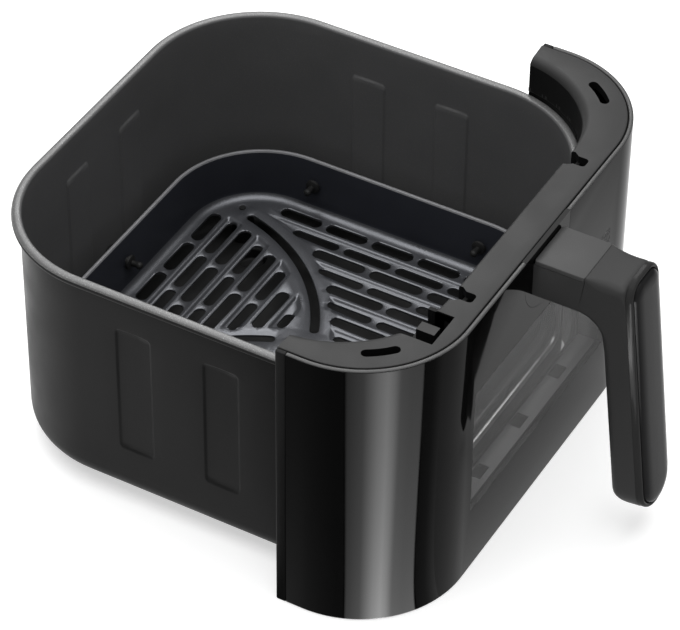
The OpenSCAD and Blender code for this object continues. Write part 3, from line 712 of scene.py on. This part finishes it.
def field_creases():
    """Lines along the ridges and round the field, so that the sheet can bend there."""
    flat = (RIDGE_PITCH - RIDGE_TOP_W) / 2 - SLOPE_W
    lines = []
    for row in range(4):
        middle = RIDGE_FIRST - (row + 0.5) * RIDGE_PITCH
        for side in (-1, 1):
            for step in range(5):
                y = middle + side * (flat + SLOPE_W * step / 4)
                xs = [x for x in range(-96, 97) if field_distance(x, y) > 0.2]
                if len(xs) > 1:
                    lines.append(((xs[0], y), (xs[-1], y)))
    for depth in (0.0, 0.75, 1.5, 2.25, 3.0):
        ring = field_outline(depth)
        lines += list(zip(ring, ring[1:] + ring[:1]))
    return lines


def tray_profile():
    """The tray's wall from the floor's underside, over the top edge, to the floor's top side.

    Each entry is (half-width, corner radius, height).
    """
    low = TRAY_FLOOR - TRAY_SHEET
    start = [(FLAT_HALF - 0.6, FLAT_CORNER - 0.5, low)]
    outer = []
    for k in range(9):
        t = pi / 2 * k / 8
        outer.append((FLAT_HALF + 5.6 * sin(t), FLAT_CORNER + 4.5 * sin(t), low + 5.6 * (1 - cos(t))))
    edge = [
        (TRAY_HALF - 0.7, TRAY_CORNER - 0.6, TRAY_TOP - 1.6),
        (TRAY_HALF - 0.2, TRAY_CORNER - 0.2, TRAY_TOP - 1.0),
        (TRAY_HALF, TRAY_CORNER, TRAY_TOP - 0.5),
        (TRAY_HALF - 0.15, TRAY_CORNER - 0.15, TRAY_TOP - 0.15),
        (TRAY_HALF - 0.5, TRAY_CORNER - 0.5, TRAY_TOP),
        (TRAY_HALF - 1.0, TRAY_CORNER - 1.0, TRAY_TOP),
        (TRAY_HALF - 1.5, TRAY_CORNER - 1.5, TRAY_TOP - 0.2),
        (TRAY_HALF - 2.0, TRAY_CORNER - 2.0, TRAY_TOP - 1.0),
    ]
    inner = []
    for k in range(9):
        t = pi / 2 * (1 - k / 8)
        inner.append((FLAT_HALF - 0.9 + 4.9 * sin(t), FLAT_CORNER - 0.8 + 4.2 * sin(t),
                      TRAY_FLOOR + 4.7 * (1 - cos(t))))
    end = [(FLAT_HALF - 1.2, FLAT_CORNER - 1.1, TRAY_FLOOR)]
    return start + outer + edge + inner + end


def make_tray():
    rings = [at_height(round_square(h, r, 20), z) for h, r, z in tray_profile()]
    walls = skin(rings)
    lip = 0.45
    slots, lips = [], []
    for quarter in range(4):
        slots += [turned(loop, quarter) for loop in field_slots()]
        lips += [turned(loop, quarter) for loop in field_slots(lip)]
    creases = [tuple(turned(line, quarter)) for quarter in range(4) for line in field_creases()]
    rounds = [pair for loop in lips for pair in zip(loop, loop[1:] + loop[:1])]
    top_edge = [(x, y) for x, y, _ in rings[-1]]
    low_edge = [(x, y) for x, y, _ in rings[0]]
    flat, top_faces = filled(top_edge, slots, 0, creases + rounds)
    near_slot = slot_test(slots, lip)
    top = [(x, y, tray_height(x, y) - near_slot(x, y)) for x, y, _ in flat]
    flat, low_faces = filled(low_edge, slots, 0, creases)
    under = [(x, y, tray_height(x, y) - TRAY_SHEET) for x, y, _ in flat]
    sides = []
    for loop in slots:
        upper = [(x, y, tray_height(x, y) - 0.3) for x, y in loop]
        lower = [(x, y, tray_height(x, y) - TRAY_SHEET) for x, y in loop]
        sides.append(skin([upper, lower]))
    points, faces = joined(walls, (top, top_faces), (under, low_faces), *sides)
    piece = new_piece("tray_body", points, faces, TRAY, "tray", 35, ["tray"], "tray_coating")
    # Walls above the fillet take the darker copy as painted shade; the top edge takes the lighter one as a
    # painted highlight.
    paint(piece, [TRAY_WALL_SHADE, TRAY_EDGE_HIGHLIGHT], lambda centre, normal: (
        2 if centre.z > TRAY_TOP - 0.7 else int(centre.z > TRAY_FLOOR + 3.2)))


def slot_test(slots, lip):
    """How far a point is rounded down at a slot's edge: 0.3 mm on the edge itself."""
    edges = {(round(x, 2), round(y, 2)) for loop in slots for x, y in loop}
    return lambda x, y: 0.3 if (round(x, 2), round(y, 2)) in edges else 0.0


# ---------- front panel ----------


def outline(side, front, corner, end, steps=32):
    """A U-shaped path of (point, outward direction), from the right wing's end round to the left's.

    side and front are the distances of its straight runs, corner its radius and end the wings' end.
    """
    cx, cy = side - corner, corner - front
    first = asin(min(max((end - cy) / corner, -1), 0)) if end < cy else 0.0
    path = []
    if end > cy:
        path += [((side, end), (1.0, 0.0)), ((side, (end + cy) / 2), (1.0, 0.0))]
    for k in range(steps + 1):
        turn = first + (-pi / 2 - first) * k / steps
        way = (cos(turn), sin(turn))
        path.append(((cx + corner * way[0], cy + corner * way[1]), way))
    other = [((-x, y), (-nx, ny)) for (x, y), (nx, ny) in reversed(path)]
    return path + other


def sweep(path, section):
    """A closed band along a path. section lists (inset from the path, height)."""
    rings = [[(x - nx * inset, y - ny * inset, z) for inset, z in section] for (x, y), (nx, ny) in path]
    return ends_closed(*skin(rings), len(section))


def band(thick, low, high, r, steps=4):
    """The section of an upright band with round edges, from its outer face inwards."""
    loop = []
    corners = ((r, low + r, 180), (thick - r, low + r, 270), (thick - r, high - r, 0), (r, high - r, 90))
    for cx, cz, start in corners:
        loop += arc(cx, cz, r, start, start + 90, steps)
    return loop


def slab(loop, low, high, holes=()):
    """A closed plate over a loop with holes, as (points, faces)."""
    top = filled(loop, holes, high)
    under = filled(loop, holes, low)
    edges = [skin([at_height(ring, low), at_height(ring, high)]) for ring in (loop, *holes)]
    return joined(top, under, *edges)


def box(x0, x1, y0, y1, z0, z1):
    return prism([(x0, y0), (x1, y0), (x1, y1), (x0, y1)], z0, z1)


def merged(name, pieces, node):
    """Joins pieces into one that replaces a CAD node."""
    main = pieces[0]
    with bpy.context.temp_override(active_object=main, selected_editable_objects=pieces):
        bpy.ops.object.join()
    main.name = name
    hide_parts(node)
    return main


def base_loop(grow):
    """The handle's base plate seen from the front, as (x, z)."""
    r = BASE_HALF + grow
    return [(r, PANEL_TOP + 2), *arc(0, BASE_MID, r, 0, -180, 32), (-r, PANEL_TOP + 2)]


def make_shell():
    path = outline(PANEL_HALF, PANEL_FRONT, PANEL_CORNER, -WING_END - STRIP)
    points, faces = sweep(path, band(SHELL_WALL, 0, SHELL_TOP, 0.7))
    piece = new_piece("shell_body", points, faces, SHELL, "drawer", 30, ["outer_shell"], "shell_gloss")
    window = [(-WINDOW_HALF, WINDOW_Z[0]), (WINDOW_HALF, WINDOW_Z[0]),
              (WINDOW_HALF, WINDOW_Z[1]), (-WINDOW_HALF, WINDOW_Z[1])]
    depth = (-PANEL_FRONT - 3, -PANEL_FRONT + SHELL_WALL + 3)
    cut(piece, [prism(loop, *depth, upright) for loop in (window, base_loop(0))], 30)
    # The shell's upward faces along its top edge take the lighter copy: painted highlight.
    paint(piece, [SHELL_TOP_HIGHLIGHT], lambda centre, normal: int(normal.z > 0.3))


def deck_slots():
    """The openings in the frame's top face, as loops on the right side, mirrored to the left."""
    cx, cy = PANEL_HALF - PANEL_CORNER, PANEL_CORNER - PANEL_FRONT
    curved = arc(cx, cy, 46.5, -31, -49, 12)
    curved += arc(cx + 44 * cos(radians(49)), cy - 44 * sin(radians(49)), 2.5, -49, -229, 8)[1:-1]
    curved += arc(cx, cy, 41.5, -49, -31, 12)
    curved += arc(cx + 44 * cos(radians(31)), cy - 44 * sin(radians(31)), 2.5, 149, -31, 8)[1:-1]
    tee = [(52.75, -110), (63.25, -110), (63.25, -119.4), (61.25, -122), *arc(59.25, -126, 2, 0, -90, 6),
           *arc(56.75, -126, 2, -90, -180, 6), (54.75, -122), (52.75, -119.4)]
    loops = []
    for loop in (curved, tee):
        loops += [loop, [(-x, y) for x, y in loop]]
    return loops


def deck_band():
    """The frame's top face and the lip under its inner edge, with a fillet that is larger on the wings."""
    steps = 40
    end = -WING_END - 0.2
    skirt = SHELL_WALL + SEAM
    outer = outline(PANEL_HALF - skirt, PANEL_FRONT - skirt, PANEL_CORNER - skirt, end)
    inner = outline(LIP_SIDE, LIP_FRONT, LIP_CORNER, end)

    def walk(path, count):
        lengths = [0.0]
        for (a, _), (b, _) in zip(path, path[1:]):
            lengths.append(lengths[-1] + hypot(b[0] - a[0], b[1] - a[1]))
        stops = []
        for k in range(count + 1):
            want = lengths[-1] * k / count
            i = min(max(j for j, length in enumerate(lengths) if length <= want + 1e-9), len(path) - 2)
            t = (want - lengths[i]) / max(lengths[i + 1] - lengths[i], 1e-9)
            spot = [p + (q - p) * t for p, q in zip(path[i][0], path[i + 1][0])]
            way = [p + (q - p) * t for p, q in zip(path[i][1], path[i + 1][1])]
            size = hypot(*way)
            stops.append((spot, (way[0] / size, way[1] / size)))
        return stops

    half = len(outer) // 2
    wing_out, wing_in = walk(outer[:half], steps), walk(inner[:len(inner) // 2], steps)
    pairs = list(zip(wing_out, wing_in))
    mirror = [tuple(((-p[0], p[1]), (-n[0], n[1])) for p, n in pair) for pair in reversed(pairs)]
    rings = []
    for (po, no), (pi_, ni) in pairs + mirror:
        lean = min(max((abs(pi_[0]) - 66) / 34, 0), 1)
        r = 1.6 + 3.6 * lean * lean * (3 - 2 * lean)
        ring = []
        for a in range(4):
            t = pi / 2 * a / 3
            ring.append((po[0] - no[0] * 0.6 * (1 - cos(t)), po[1] - no[1] * 0.6 * (1 - cos(t)),
                         PANEL_TOP - 0.6 * (1 - sin(t))))
        for a in range(9):
            t = pi / 2 * a / 8
            ring.append((pi_[0] + ni[0] * r * (1 - sin(t)), pi_[1] + ni[1] * r * (1 - sin(t)),
                         PANEL_TOP - r * (1 - cos(t))))
        ring.append((pi_[0], pi_[1], LIP_LOW + 0.3))
        ring.append((pi_[0] + ni[0] * 0.3, pi_[1] + ni[1] * 0.3, LIP_LOW))
        ring.append((pi_[0] + ni[0] * 2.5, pi_[1] + ni[1] * 2.5, LIP_LOW))
        ring.append((pi_[0] + ni[0] * 2.5, pi_[1] + ni[1] * 2.5, PANEL_TOP - 4.5))
        ring.append((po[0] - no[0] * 1.5, po[1] - no[1] * 1.5, PANEL_TOP - 4.5))
        ring.append((po[0], po[1], PANEL_TOP - 2.5))
        rings.append(ring)
    return ends_closed(*skin(rings), len(rings[0]))


def make_frame():
    deck_z = PANEL_TOP - 2.5
    pieces = []
    deck = new_piece("deck", *deck_band(), FRAME, "drawer", 35)
    holes = [prism(loop, LIP_LOW - 6, PANEL_TOP + 4) for loop in deck_slots()]
    gate = (-95.6, -73.6, -126, -104)
    cut(deck, [*holes, box(*gate, LIP_LOW + FRAME_WALL, PANEL_TOP + 4)], 35)
    # Steep and downward faces of the deck get the darker copy: painted shade.
    paint(deck, [FRAME_SHADE], lambda centre, normal: int(normal.z < 0.15 and centre.z < PANEL_TOP - 1))
    pieces.append(deck)

    end = -WING_END
    rear_out = REAR_IN + FRAME_WALL
    wall_path = outline(rear_out, rear_out, PAN_CORNER + rear_out - PAN_HALF, end)
    wall_band = band(FRAME_WALL, 0, deck_z - 1.5, 0.3, 2)
    # The rear wall is made wholly of the darker copy: painted shade.
    wall = new_piece("rear_wall", *sweep(wall_path, wall_band), FRAME_SHADE, "drawer", 35)
    tunnel = [(-73, 37.5), (73, 37.5), (73, 117.5), (-73, 117.5)]
    bolts = [circle(x, 127, 2.8, 20) for x in (-12, 12)]
    cut(wall, [
        *[prism(loop, -REAR_IN - 9, -REAR_IN + 3, upright) for loop in (tunnel, *bolts)],
        box(*gate, LIP_LOW + FRAME_WALL, PANEL_TOP)], 35)
    pieces.append(wall)

    inner = [p for p, _ in outline(REAR_IN, REAR_IN, PAN_CORNER + REAR_IN - PAN_HALF, end)]
    outer = [p for p, _ in outline(
        PANEL_HALF - SHELL_WALL, PANEL_FRONT - SHELL_WALL, PANEL_CORNER - SHELL_WALL, end)]
    bottom = slab(outer + inner[::-1], 0, FRAME_WALL)
    lip = [p for p, _ in outline(LIP_SIDE, LIP_FRONT, LIP_CORNER, end)]
    ledge_out = [p for p, _ in wall_path]
    ledge = slab(ledge_out + lip[::-1], LIP_LOW, LIP_LOW + FRAME_WALL)
    y0, y1 = -PANEL_FRONT + SHELL_WALL + 2, -rear_out + 0.5
    around = [(-75, 35.5), (75, 35.5), (75, 119.5), (-75, 119.5)]
    frame_tube = slab(around, y0, y1, [tunnel])
    frame_tube = ([(x, y, z) for x, z, y in frame_tube[0]], frame_tube[1])
    tunnel_piece = new_piece("tunnel", *frame_tube, FRAME, "drawer", 35)
    cut(tunnel_piece, [box(42 * i - 5, 42 * i + 5, -129.5, -123.5, 30, 38.5) for i in (-1, 0, 1)], 35)
    # The tunnel floor's upward faces take the light grey: painted light seen through the pane.
    paint(tunnel_piece, [TUNNEL_FLOOR_LIT], lambda centre, normal: int(normal.z > 0.5 and centre.z < 60))
    pieces.append(tunnel_piece)
    gate_box = box(-97.8, -71.4, -128.2, -106, LIP_LOW, LIP_LOW + FRAME_WALL)
    gate_wall = slab([(-97.8, -128.2), (-71.4, -128.2), (-71.4, -112), (-73.6, -112), (-73.6, -126),
                      (-95.6, -126), (-95.6, -108), (-97.8, -108)], LIP_LOW, PANEL_TOP - 1)
    parts, strips = [bottom, ledge], [gate_box, gate_wall]
    for s in (-1, 1):
        x0, x1 = sorted((s * (REAR_IN + 0.5), s * (PANEL_HALF - 2.9)))
        parts.append(box(x0, x1, end - FRAME_WALL, end, 0, PANEL_TOP - 2.6))
        strip = rounded_box((min(s * 132.2, s * 135), end - STRIP + 0.2, 0),
                            (max(s * 132.2, s * 135), end - 0.2, SHELL_TOP - 0.2), 0.9)
        strips.append(strip)
    pieces.append(new_piece("frame_parts", *joined(*parts), FRAME, "drawer", 35))
    # The wing end strips are made wholly of the darker copy: painted shade.
    ends = new_piece("wing_strips", *joined(*strips), FRAME_SHADE, "drawer", 35)
    pieces.append(ends)
    merged("frame_body", pieces, "inner_frame")


# ---------- handle ----------


def grip_point(back, up):
    """A point of the grip's side view, from its distance behind the grip's rear face and along the grip."""
    origin = GRIP_BACK - GRIP_REF * tan(GRIP_TILT)
    c, s = cos(GRIP_TILT), sin(GRIP_TILT)
    return (origin + back * c + up * s, up * c - back * s)


def handle_sections():
    """The handle's sections, each (inner point, outer point, half-width, inner round, outer round)."""
    w = GRIP_HALF
    cover = ARM_TOP - 2.5
    out = [((y, ARM_LOW), (y, cover), w, 3.0, 0.4) for y in (-PANEL_FRONT, -145.0, -153.0, ELBOW[0])]
    first, last = radians(93), radians(173.5)
    knee = (ELBOW[0] + ELBOW_R * cos(first), ELBOW[1] + ELBOW_R * sin(first))
    out.append((knee, (ARM_END, cover), w, 3.0, 0.4))
    tops = [(ARM_END, ARM_TOP, 1.2), (-164.6, ARM_TOP, 1.6), (-166, ARM_TOP, 2.5), (-168.5, ARM_TOP, 3.6),
            (-171.5, ARM_TOP, 4.6), (-174.5, ARM_TOP, 5.2), (-178, ARM_TOP, 5.4), (-180.5, ARM_TOP, 5.2)]
    for turn in (92, 108, 124, 140, 156):
        t = radians(turn)
        tops.append((SHOULDER_Y + SHOULDER + SHOULDER * cos(t), ARM_TOP - SHOULDER + SHOULDER * sin(t),
                     5.0 - (turn - 92) * 0.02))
    for up, r in ((153.2, 3.2), (150, 1.8), (146, 1.1), (141, 0.8), (136, 0.8), (130, 0.8), (124, 0.8)):
        tops.append((*grip_point(-GRIP_T, up), r))
    for k, (y, z, r) in enumerate(tops):
        t = first + (last - first) * (k + 0.6) / (len(tops) - 0.4)
        inner = (ELBOW[0] + ELBOW_R * cos(t), ELBOW[1] + ELBOW_R * sin(t))
        out.append((inner, (y, z), w, 3.0 + 2.2 * k / (len(tops) - 1), r))
    for up in (116, 100, 80, 60, 45, 38):
        out.append((grip_point(0, up), grip_point(-GRIP_T, up), w, 5.2, 0.8))
    middle = GRIP_BOTTOM + w
    for k in range(15):
        t = pi / 2 * (k / 14) ** 0.85
        up = middle - w * sin(t)
        half = max(w * cos(t), 0.5)
        drop = max(GRIP_BOTTOM + BACK_CORNER - up, 0)
        back = -BACK_CORNER + sqrt(max(BACK_CORNER ** 2 - drop * drop, 0))
        depth = GRIP_T + back
        out.append((grip_point(back, up), grip_point(-GRIP_T, up), half,
                    min(5.2, half * 0.95, depth * 0.55), min(0.8, half * 0.5)))
    return out


def make_handle():
    rings = []
    for inner, outer, w, r_in, r_out in handle_sections():
        span = hypot(outer[0] - inner[0], outer[1] - inner[1])
        way = ((outer[0] - inner[0]) / span, (outer[1] - inner[1]) / span)
        side = arc(w - r_in, r_in, r_in, -90, 0, 8)
        side += arc(w - r_out, span - r_out, r_out, 0, 90, 8)
        loop = side + [(-x, s) for x, s in reversed(side)]
        rings.append([(x, inner[0] + way[0] * s, inner[1] + way[1] * s) for x, s in loop])
    points, faces = ends_closed(*skin(rings), len(rings[0]))
    new_piece("grip_body", points, faces, HANDLE, "drawer", 38, ["handle_body"], "handle_plastic")


def grip_outline(inset, steps=20):
    """The trim's outline seen from the front, as (x, along the grip)."""
    w = GRIP_HALF - inset
    low = GRIP_BOTTOM + GRIP_HALF
    high, r = TRIM_TOP - TRIM_CORNER, TRIM_CORNER - inset
    side = w - r
    loop = arc(0, low, w, -180, 0, 2 * steps)
    loop += [(w, low + (high - low) * k / 8) for k in range(1, 8)]
    loop += arc(side, high, r, 0, 90, steps // 2)
    loop += arc(-side, high, r, 90, 180, steps // 2)
    loop += [(-w, high + (low - high) * k / 8) for k in range(1, 8)]
    return loop


def grip_rings(profile):
    """Rings of the grip's outline, each profile entry (inset, distance in front of the grip's seat)."""
    rings = []
    for inset, out in profile:
        ring = []
        for x, up in grip_outline(inset):
            y, z = grip_point(-GRIP_T - out, up)
            ring.append((x, y, z))
        rings.append(ring)
    return rings


def make_trim():
    bead = [(0.1, 0.02), (0.1, 1.4)]
    bead += [(1.4 - 1.3 * cos(t), 1.5 + 1.7 * sin(t)) for t in [pi * k / 12 for k in range(10)]]
    bead += [(TRIM_BEAD, 1.4), (TRIM_BEAD, 0.02)]
    points, faces = skin(grip_rings(bead), closed_path=True)
    new_piece("trim_bead", points, faces, TRIM, "drawer", 50, ["handle_trim"], "trim_gloss")


def make_face():
    front = FACE_T
    profile = [(2.8, 1.5), (2.8, 2.6), (3.0, 3.4), (3.5, 4.1), (4.3, 4.65), (5.4, 5.0), (7.0, front - 0.15),
               (9.0, front - 0.03)]
    rings = grip_rings(profile)
    points, faces = skin(rings)
    count = len(rings[0])
    faces.append(tuple(range(count))[::-1])
    centre = len(points)
    spine = []
    for x, up in grip_outline(9.0):
        up = min(max(up, GRIP_BOTTOM + GRIP_HALF), TRIM_TOP - TRIM_CORNER)
        spine.append((0.0, *grip_point(-GRIP_T - front, up)))
    points += spine
    last = centre - count
    for j in range(count):
        k = (j + 1) % count
        faces.append((last + j, last + k, centre + k, centre + j))
    new_piece("face_panel", points, faces, FACE, "drawer", 50, ["handle_face"], "face_metallic")


def make_cover():
    low, high = COVER_LOW, COVER_HIGH
    plate = rounded_box((low.x, low.y, ARM_TOP - 2.5), (high.x, high.y, high.z), 1.6, 5)
    new_piece("arm_plate", *plate, COVER, "drawer", 50, ["arm_cover"], "cover_plastic")


# ---------- small parts ----------


def lathe(profile, middle, axis, steps=28, stretch=1.0):
    """A turned piece from (radius, distance along the axis). stretch widens it level with the table."""
    axis = Vector(axis)
    level = Vector((-axis.y, axis.x, 0)) if axis.z == 0 else Vector((1, 0, 0))
    up = axis.cross(level)
    rings = []
    for r, along in profile:
        ring = []
        for k in range(steps):
            t = 2 * pi * k / steps
            p = Vector(middle) + axis * along + level * (r * cos(t) * stretch) + up * (r * sin(t))
            ring.append(tuple(p))
        rings.append(ring)
    return ends_closed(*skin(rings), steps)


def make_bumpers():
    places = {
        "left_front": ((-1, 0), -BUMPER_Y), "left_back": ((-1, 0), BUMPER_Y),
        "right_front": ((1, 0), -BUMPER_Y), "right_back": ((1, 0), BUMPER_Y),
        "front": ((0, -1), 0), "back": ((0, 1), 0),
    }
    pad, wall = FLAT_HALF + 8.3, FLAT_HALF + 4.7
    end = PAN_HALF - PAN_SHEET - 0.3
    stem = [(0.2, -8.05), (1.2, -7.8), (1.9, -7.1), (2.1, -6.2), (1.9, -5.2), (1.6, -4.4), (1.6, -1.9),
            (3.4, -1.5), (3.9, -1.2), (4.0, -0.7), (4.0, 0.0), (2.5, 0.0)]
    head = [(2.5, pad), (5.1, pad), (5.5, pad + 0.4), (5.5, end - 0.8), (5.2, end - 0.3), (4.6, end),
            (0.2, end)]
    profile = [(r, wall + along) for r, along in stem] + head
    for name, (way, along) in places.items():
        middle = (0, along, BUMPER_Z) if way[0] else (0, 0, BUMPER_Z)
        new_piece(f"bumper_{name}_plug", *lathe(profile, middle, (*way, 0)), RUBBER, "tray", 45,
                  [f"bumper_{name}"], "bumper_silicone")


# ---------- light, floor and camera ----------

CAMERA_TARGET = Vector((41.29, -0.87, 20.54)) * MM
CAMERA_TURN = radians(60.73)
CAMERA_DOWN = radians(41.28)
CAMERA_ROLL = 0.0098
CAMERA_DISTANCE = 1882.4 * MM
CAMERA_LENS = 191.36

CARD_APEX = (-0.1063, -0.095)
CARD_REACH = (0.34, 0.02)
CARD_SEEN_BY = ("shell_body", "trim_bead", "face_panel")
CORNER_STOPS = ((0, 0), (1, 0.22), (12, 0.26), (22, 0.34), (28, 0.75), (34, 1), (42, 0.8), (50, 0.48),
                (56, 0.26), (68, 0.16), (71, 0.14), (73, 0))
FLANK_STOPS = ((-18, 0.032), (-10, 0.014), (0, 0.009), (82, 0.009), (112, 0.018), (137, 0.036))


def make_camera():
    look = Vector((sin(CAMERA_TURN), cos(CAMERA_TURN), 0)) * cos(CAMERA_DOWN)
    look.z = -sin(CAMERA_DOWN)
    level = Vector((cos(CAMERA_TURN), -sin(CAMERA_TURN), 0))
    up = level.cross(look)
    right = level * cos(CAMERA_ROLL) + up * sin(CAMERA_ROLL)
    up = right.cross(look)
    data = bpy.data.cameras.new("camera")
    data.lens = CAMERA_LENS
    data.sensor_width = 36
    data.clip_end = 100
    camera = bpy.data.objects.new("camera", data)
    turn = Matrix((right, up, -look)).transposed().to_4x4()
    camera.matrix_world = Matrix.Translation(CAMERA_TARGET - look * CAMERA_DISTANCE) @ turn
    bpy.context.scene.collection.objects.link(camera)
    bpy.context.scene.camera = camera


def area_light(name, place, target, size, power):
    """A square light, its size in metres, that the camera doesn't see."""
    data = bpy.data.lights.new(name, "AREA")
    data.shape = "SQUARE"
    data.size = size
    data.energy = power
    light = bpy.data.objects.new(name, data)
    bpy.context.scene.collection.objects.link(light)
    light.location = place
    light.rotation_euler = (Vector(target) - Vector(place)).to_track_quat("-Z", "Y").to_euler()
    light.visible_camera = False


def make_floor():
    look = material("floor", (0.65, 0.65, 0.65), 0.7, grain=120, bump=0.02, mottle=0.01, specular=0.2)
    shader = look.node_tree.nodes["Principled BSDF"]
    shader.inputs["Emission Color"].default_value = (1, 1, 1, 1)
    shader.inputs["Emission Strength"].default_value = 0.55
    mesh = bpy.data.meshes.new("floor")
    mesh.from_pydata([(-6, -6, 0), (6, -6, 0), (6, 6, 0), (-6, 6, 0)], [], [(0, 1, 2, 3)])
    mesh.materials.append(look)
    floor = bpy.data.objects.new("floor", mesh)
    floor.location.z = -0.0002
    bpy.context.scene.collection.objects.link(floor)


def make_lights():
    world = bpy.data.worlds.new("studio")
    bpy.context.scene.world = world
    world.use_nodes = True
    world.node_tree.nodes["Background"].inputs["Color"].default_value = (1, 1, 1, 1)
    world.node_tree.nodes["Background"].inputs["Strength"].default_value = 0.22
    area_light("overhead", (0.0, 0.1, 1.8), (0, 0, 0), 2.4, 58)
    area_light("back_right", (1.5, 0.85, 1.55), (0, 0, 0.08), 0.7, 14)


def make_card(name, height, power_level, stops):
    """A fan-shaped reflector on the floor by the shell's left corner, seen only in the gloss of CARD_SEEN_BY.

    stops lists (angle in degrees from the front, round to the left, strength). Lengths are in metres.
    """
    glow = bpy.data.materials.new(name)
    glow.use_nodes = True
    tree = glow.node_tree
    tree.nodes.clear()
    output = tree.nodes.new("ShaderNodeOutputMaterial")
    shine = tree.nodes.new("ShaderNodeEmission")
    place = tree.nodes.new("ShaderNodeTexCoord")
    turn = tree.nodes.new("ShaderNodeTexGradient")
    turn.gradient_type = "RADIAL"
    ramp = tree.nodes.new("ShaderNodeValToRGB")
    power = tree.nodes.new("ShaderNodeMath")
    power.operation = "MULTIPLY"
    power.inputs[1].default_value = power_level
    tree.links.new(place.outputs["Object"], turn.inputs["Vector"])
    tree.links.new(turn.outputs["Fac"], ramp.inputs["Fac"])
    tree.links.new(ramp.outputs["Color"], power.inputs[0])
    tree.links.new(power.outputs[0], shine.inputs["Strength"])
    tree.links.new(shine.outputs[0], output.inputs["Surface"])
    ends = ramp.color_ramp.elements
    for angle, value in stops:
        stop = ends.new(0.5 + angle / 360)
        stop.color = (value, value, value, 1)
    ends.remove(ends[0])
    ends.remove(ends[-1])
    turns = range(stops[0][0] - 1, stops[-1][0] + 2)
    arcs = [[(r * cos(radians(a)), r * sin(radians(a)), 0) for a in turns] for r in CARD_REACH]
    points, faces = skin(arcs, closed_ring=False)
    mesh = bpy.data.meshes.new(name)
    mesh.from_pydata(points, [], faces)
    mesh.materials.append(glow)
    card = bpy.data.objects.new(name, mesh)
    card.location = (*CARD_APEX, height)
    card.rotation_euler = (pi, 0, radians(-93.3))
    bpy.context.scene.collection.objects.link(card)
    card.visible_camera = False
    card.visible_diffuse = False
    card.visible_shadow = False
    card.visible_transmission = False
    group = bpy.data.collections.new(name)
    for piece_name in CARD_SEEN_BY:
        group.objects.link(bpy.data.objects[piece_name])
    card.light_linking.receiver_collection = group


dress_cad()
make_pan()
make_tray()
make_shell()
make_frame()
make_handle()
make_trim()
make_face()
make_cover()
make_bumpers()
make_camera()
make_floor()
make_lights()
make_card("corner_card", 0.0004, 46, CORNER_STOPS)
make_card("flank_card", 0.0001, 44, FLANK_STOPS)
bpy.context.scene.view_settings.view_transform = "Standard"
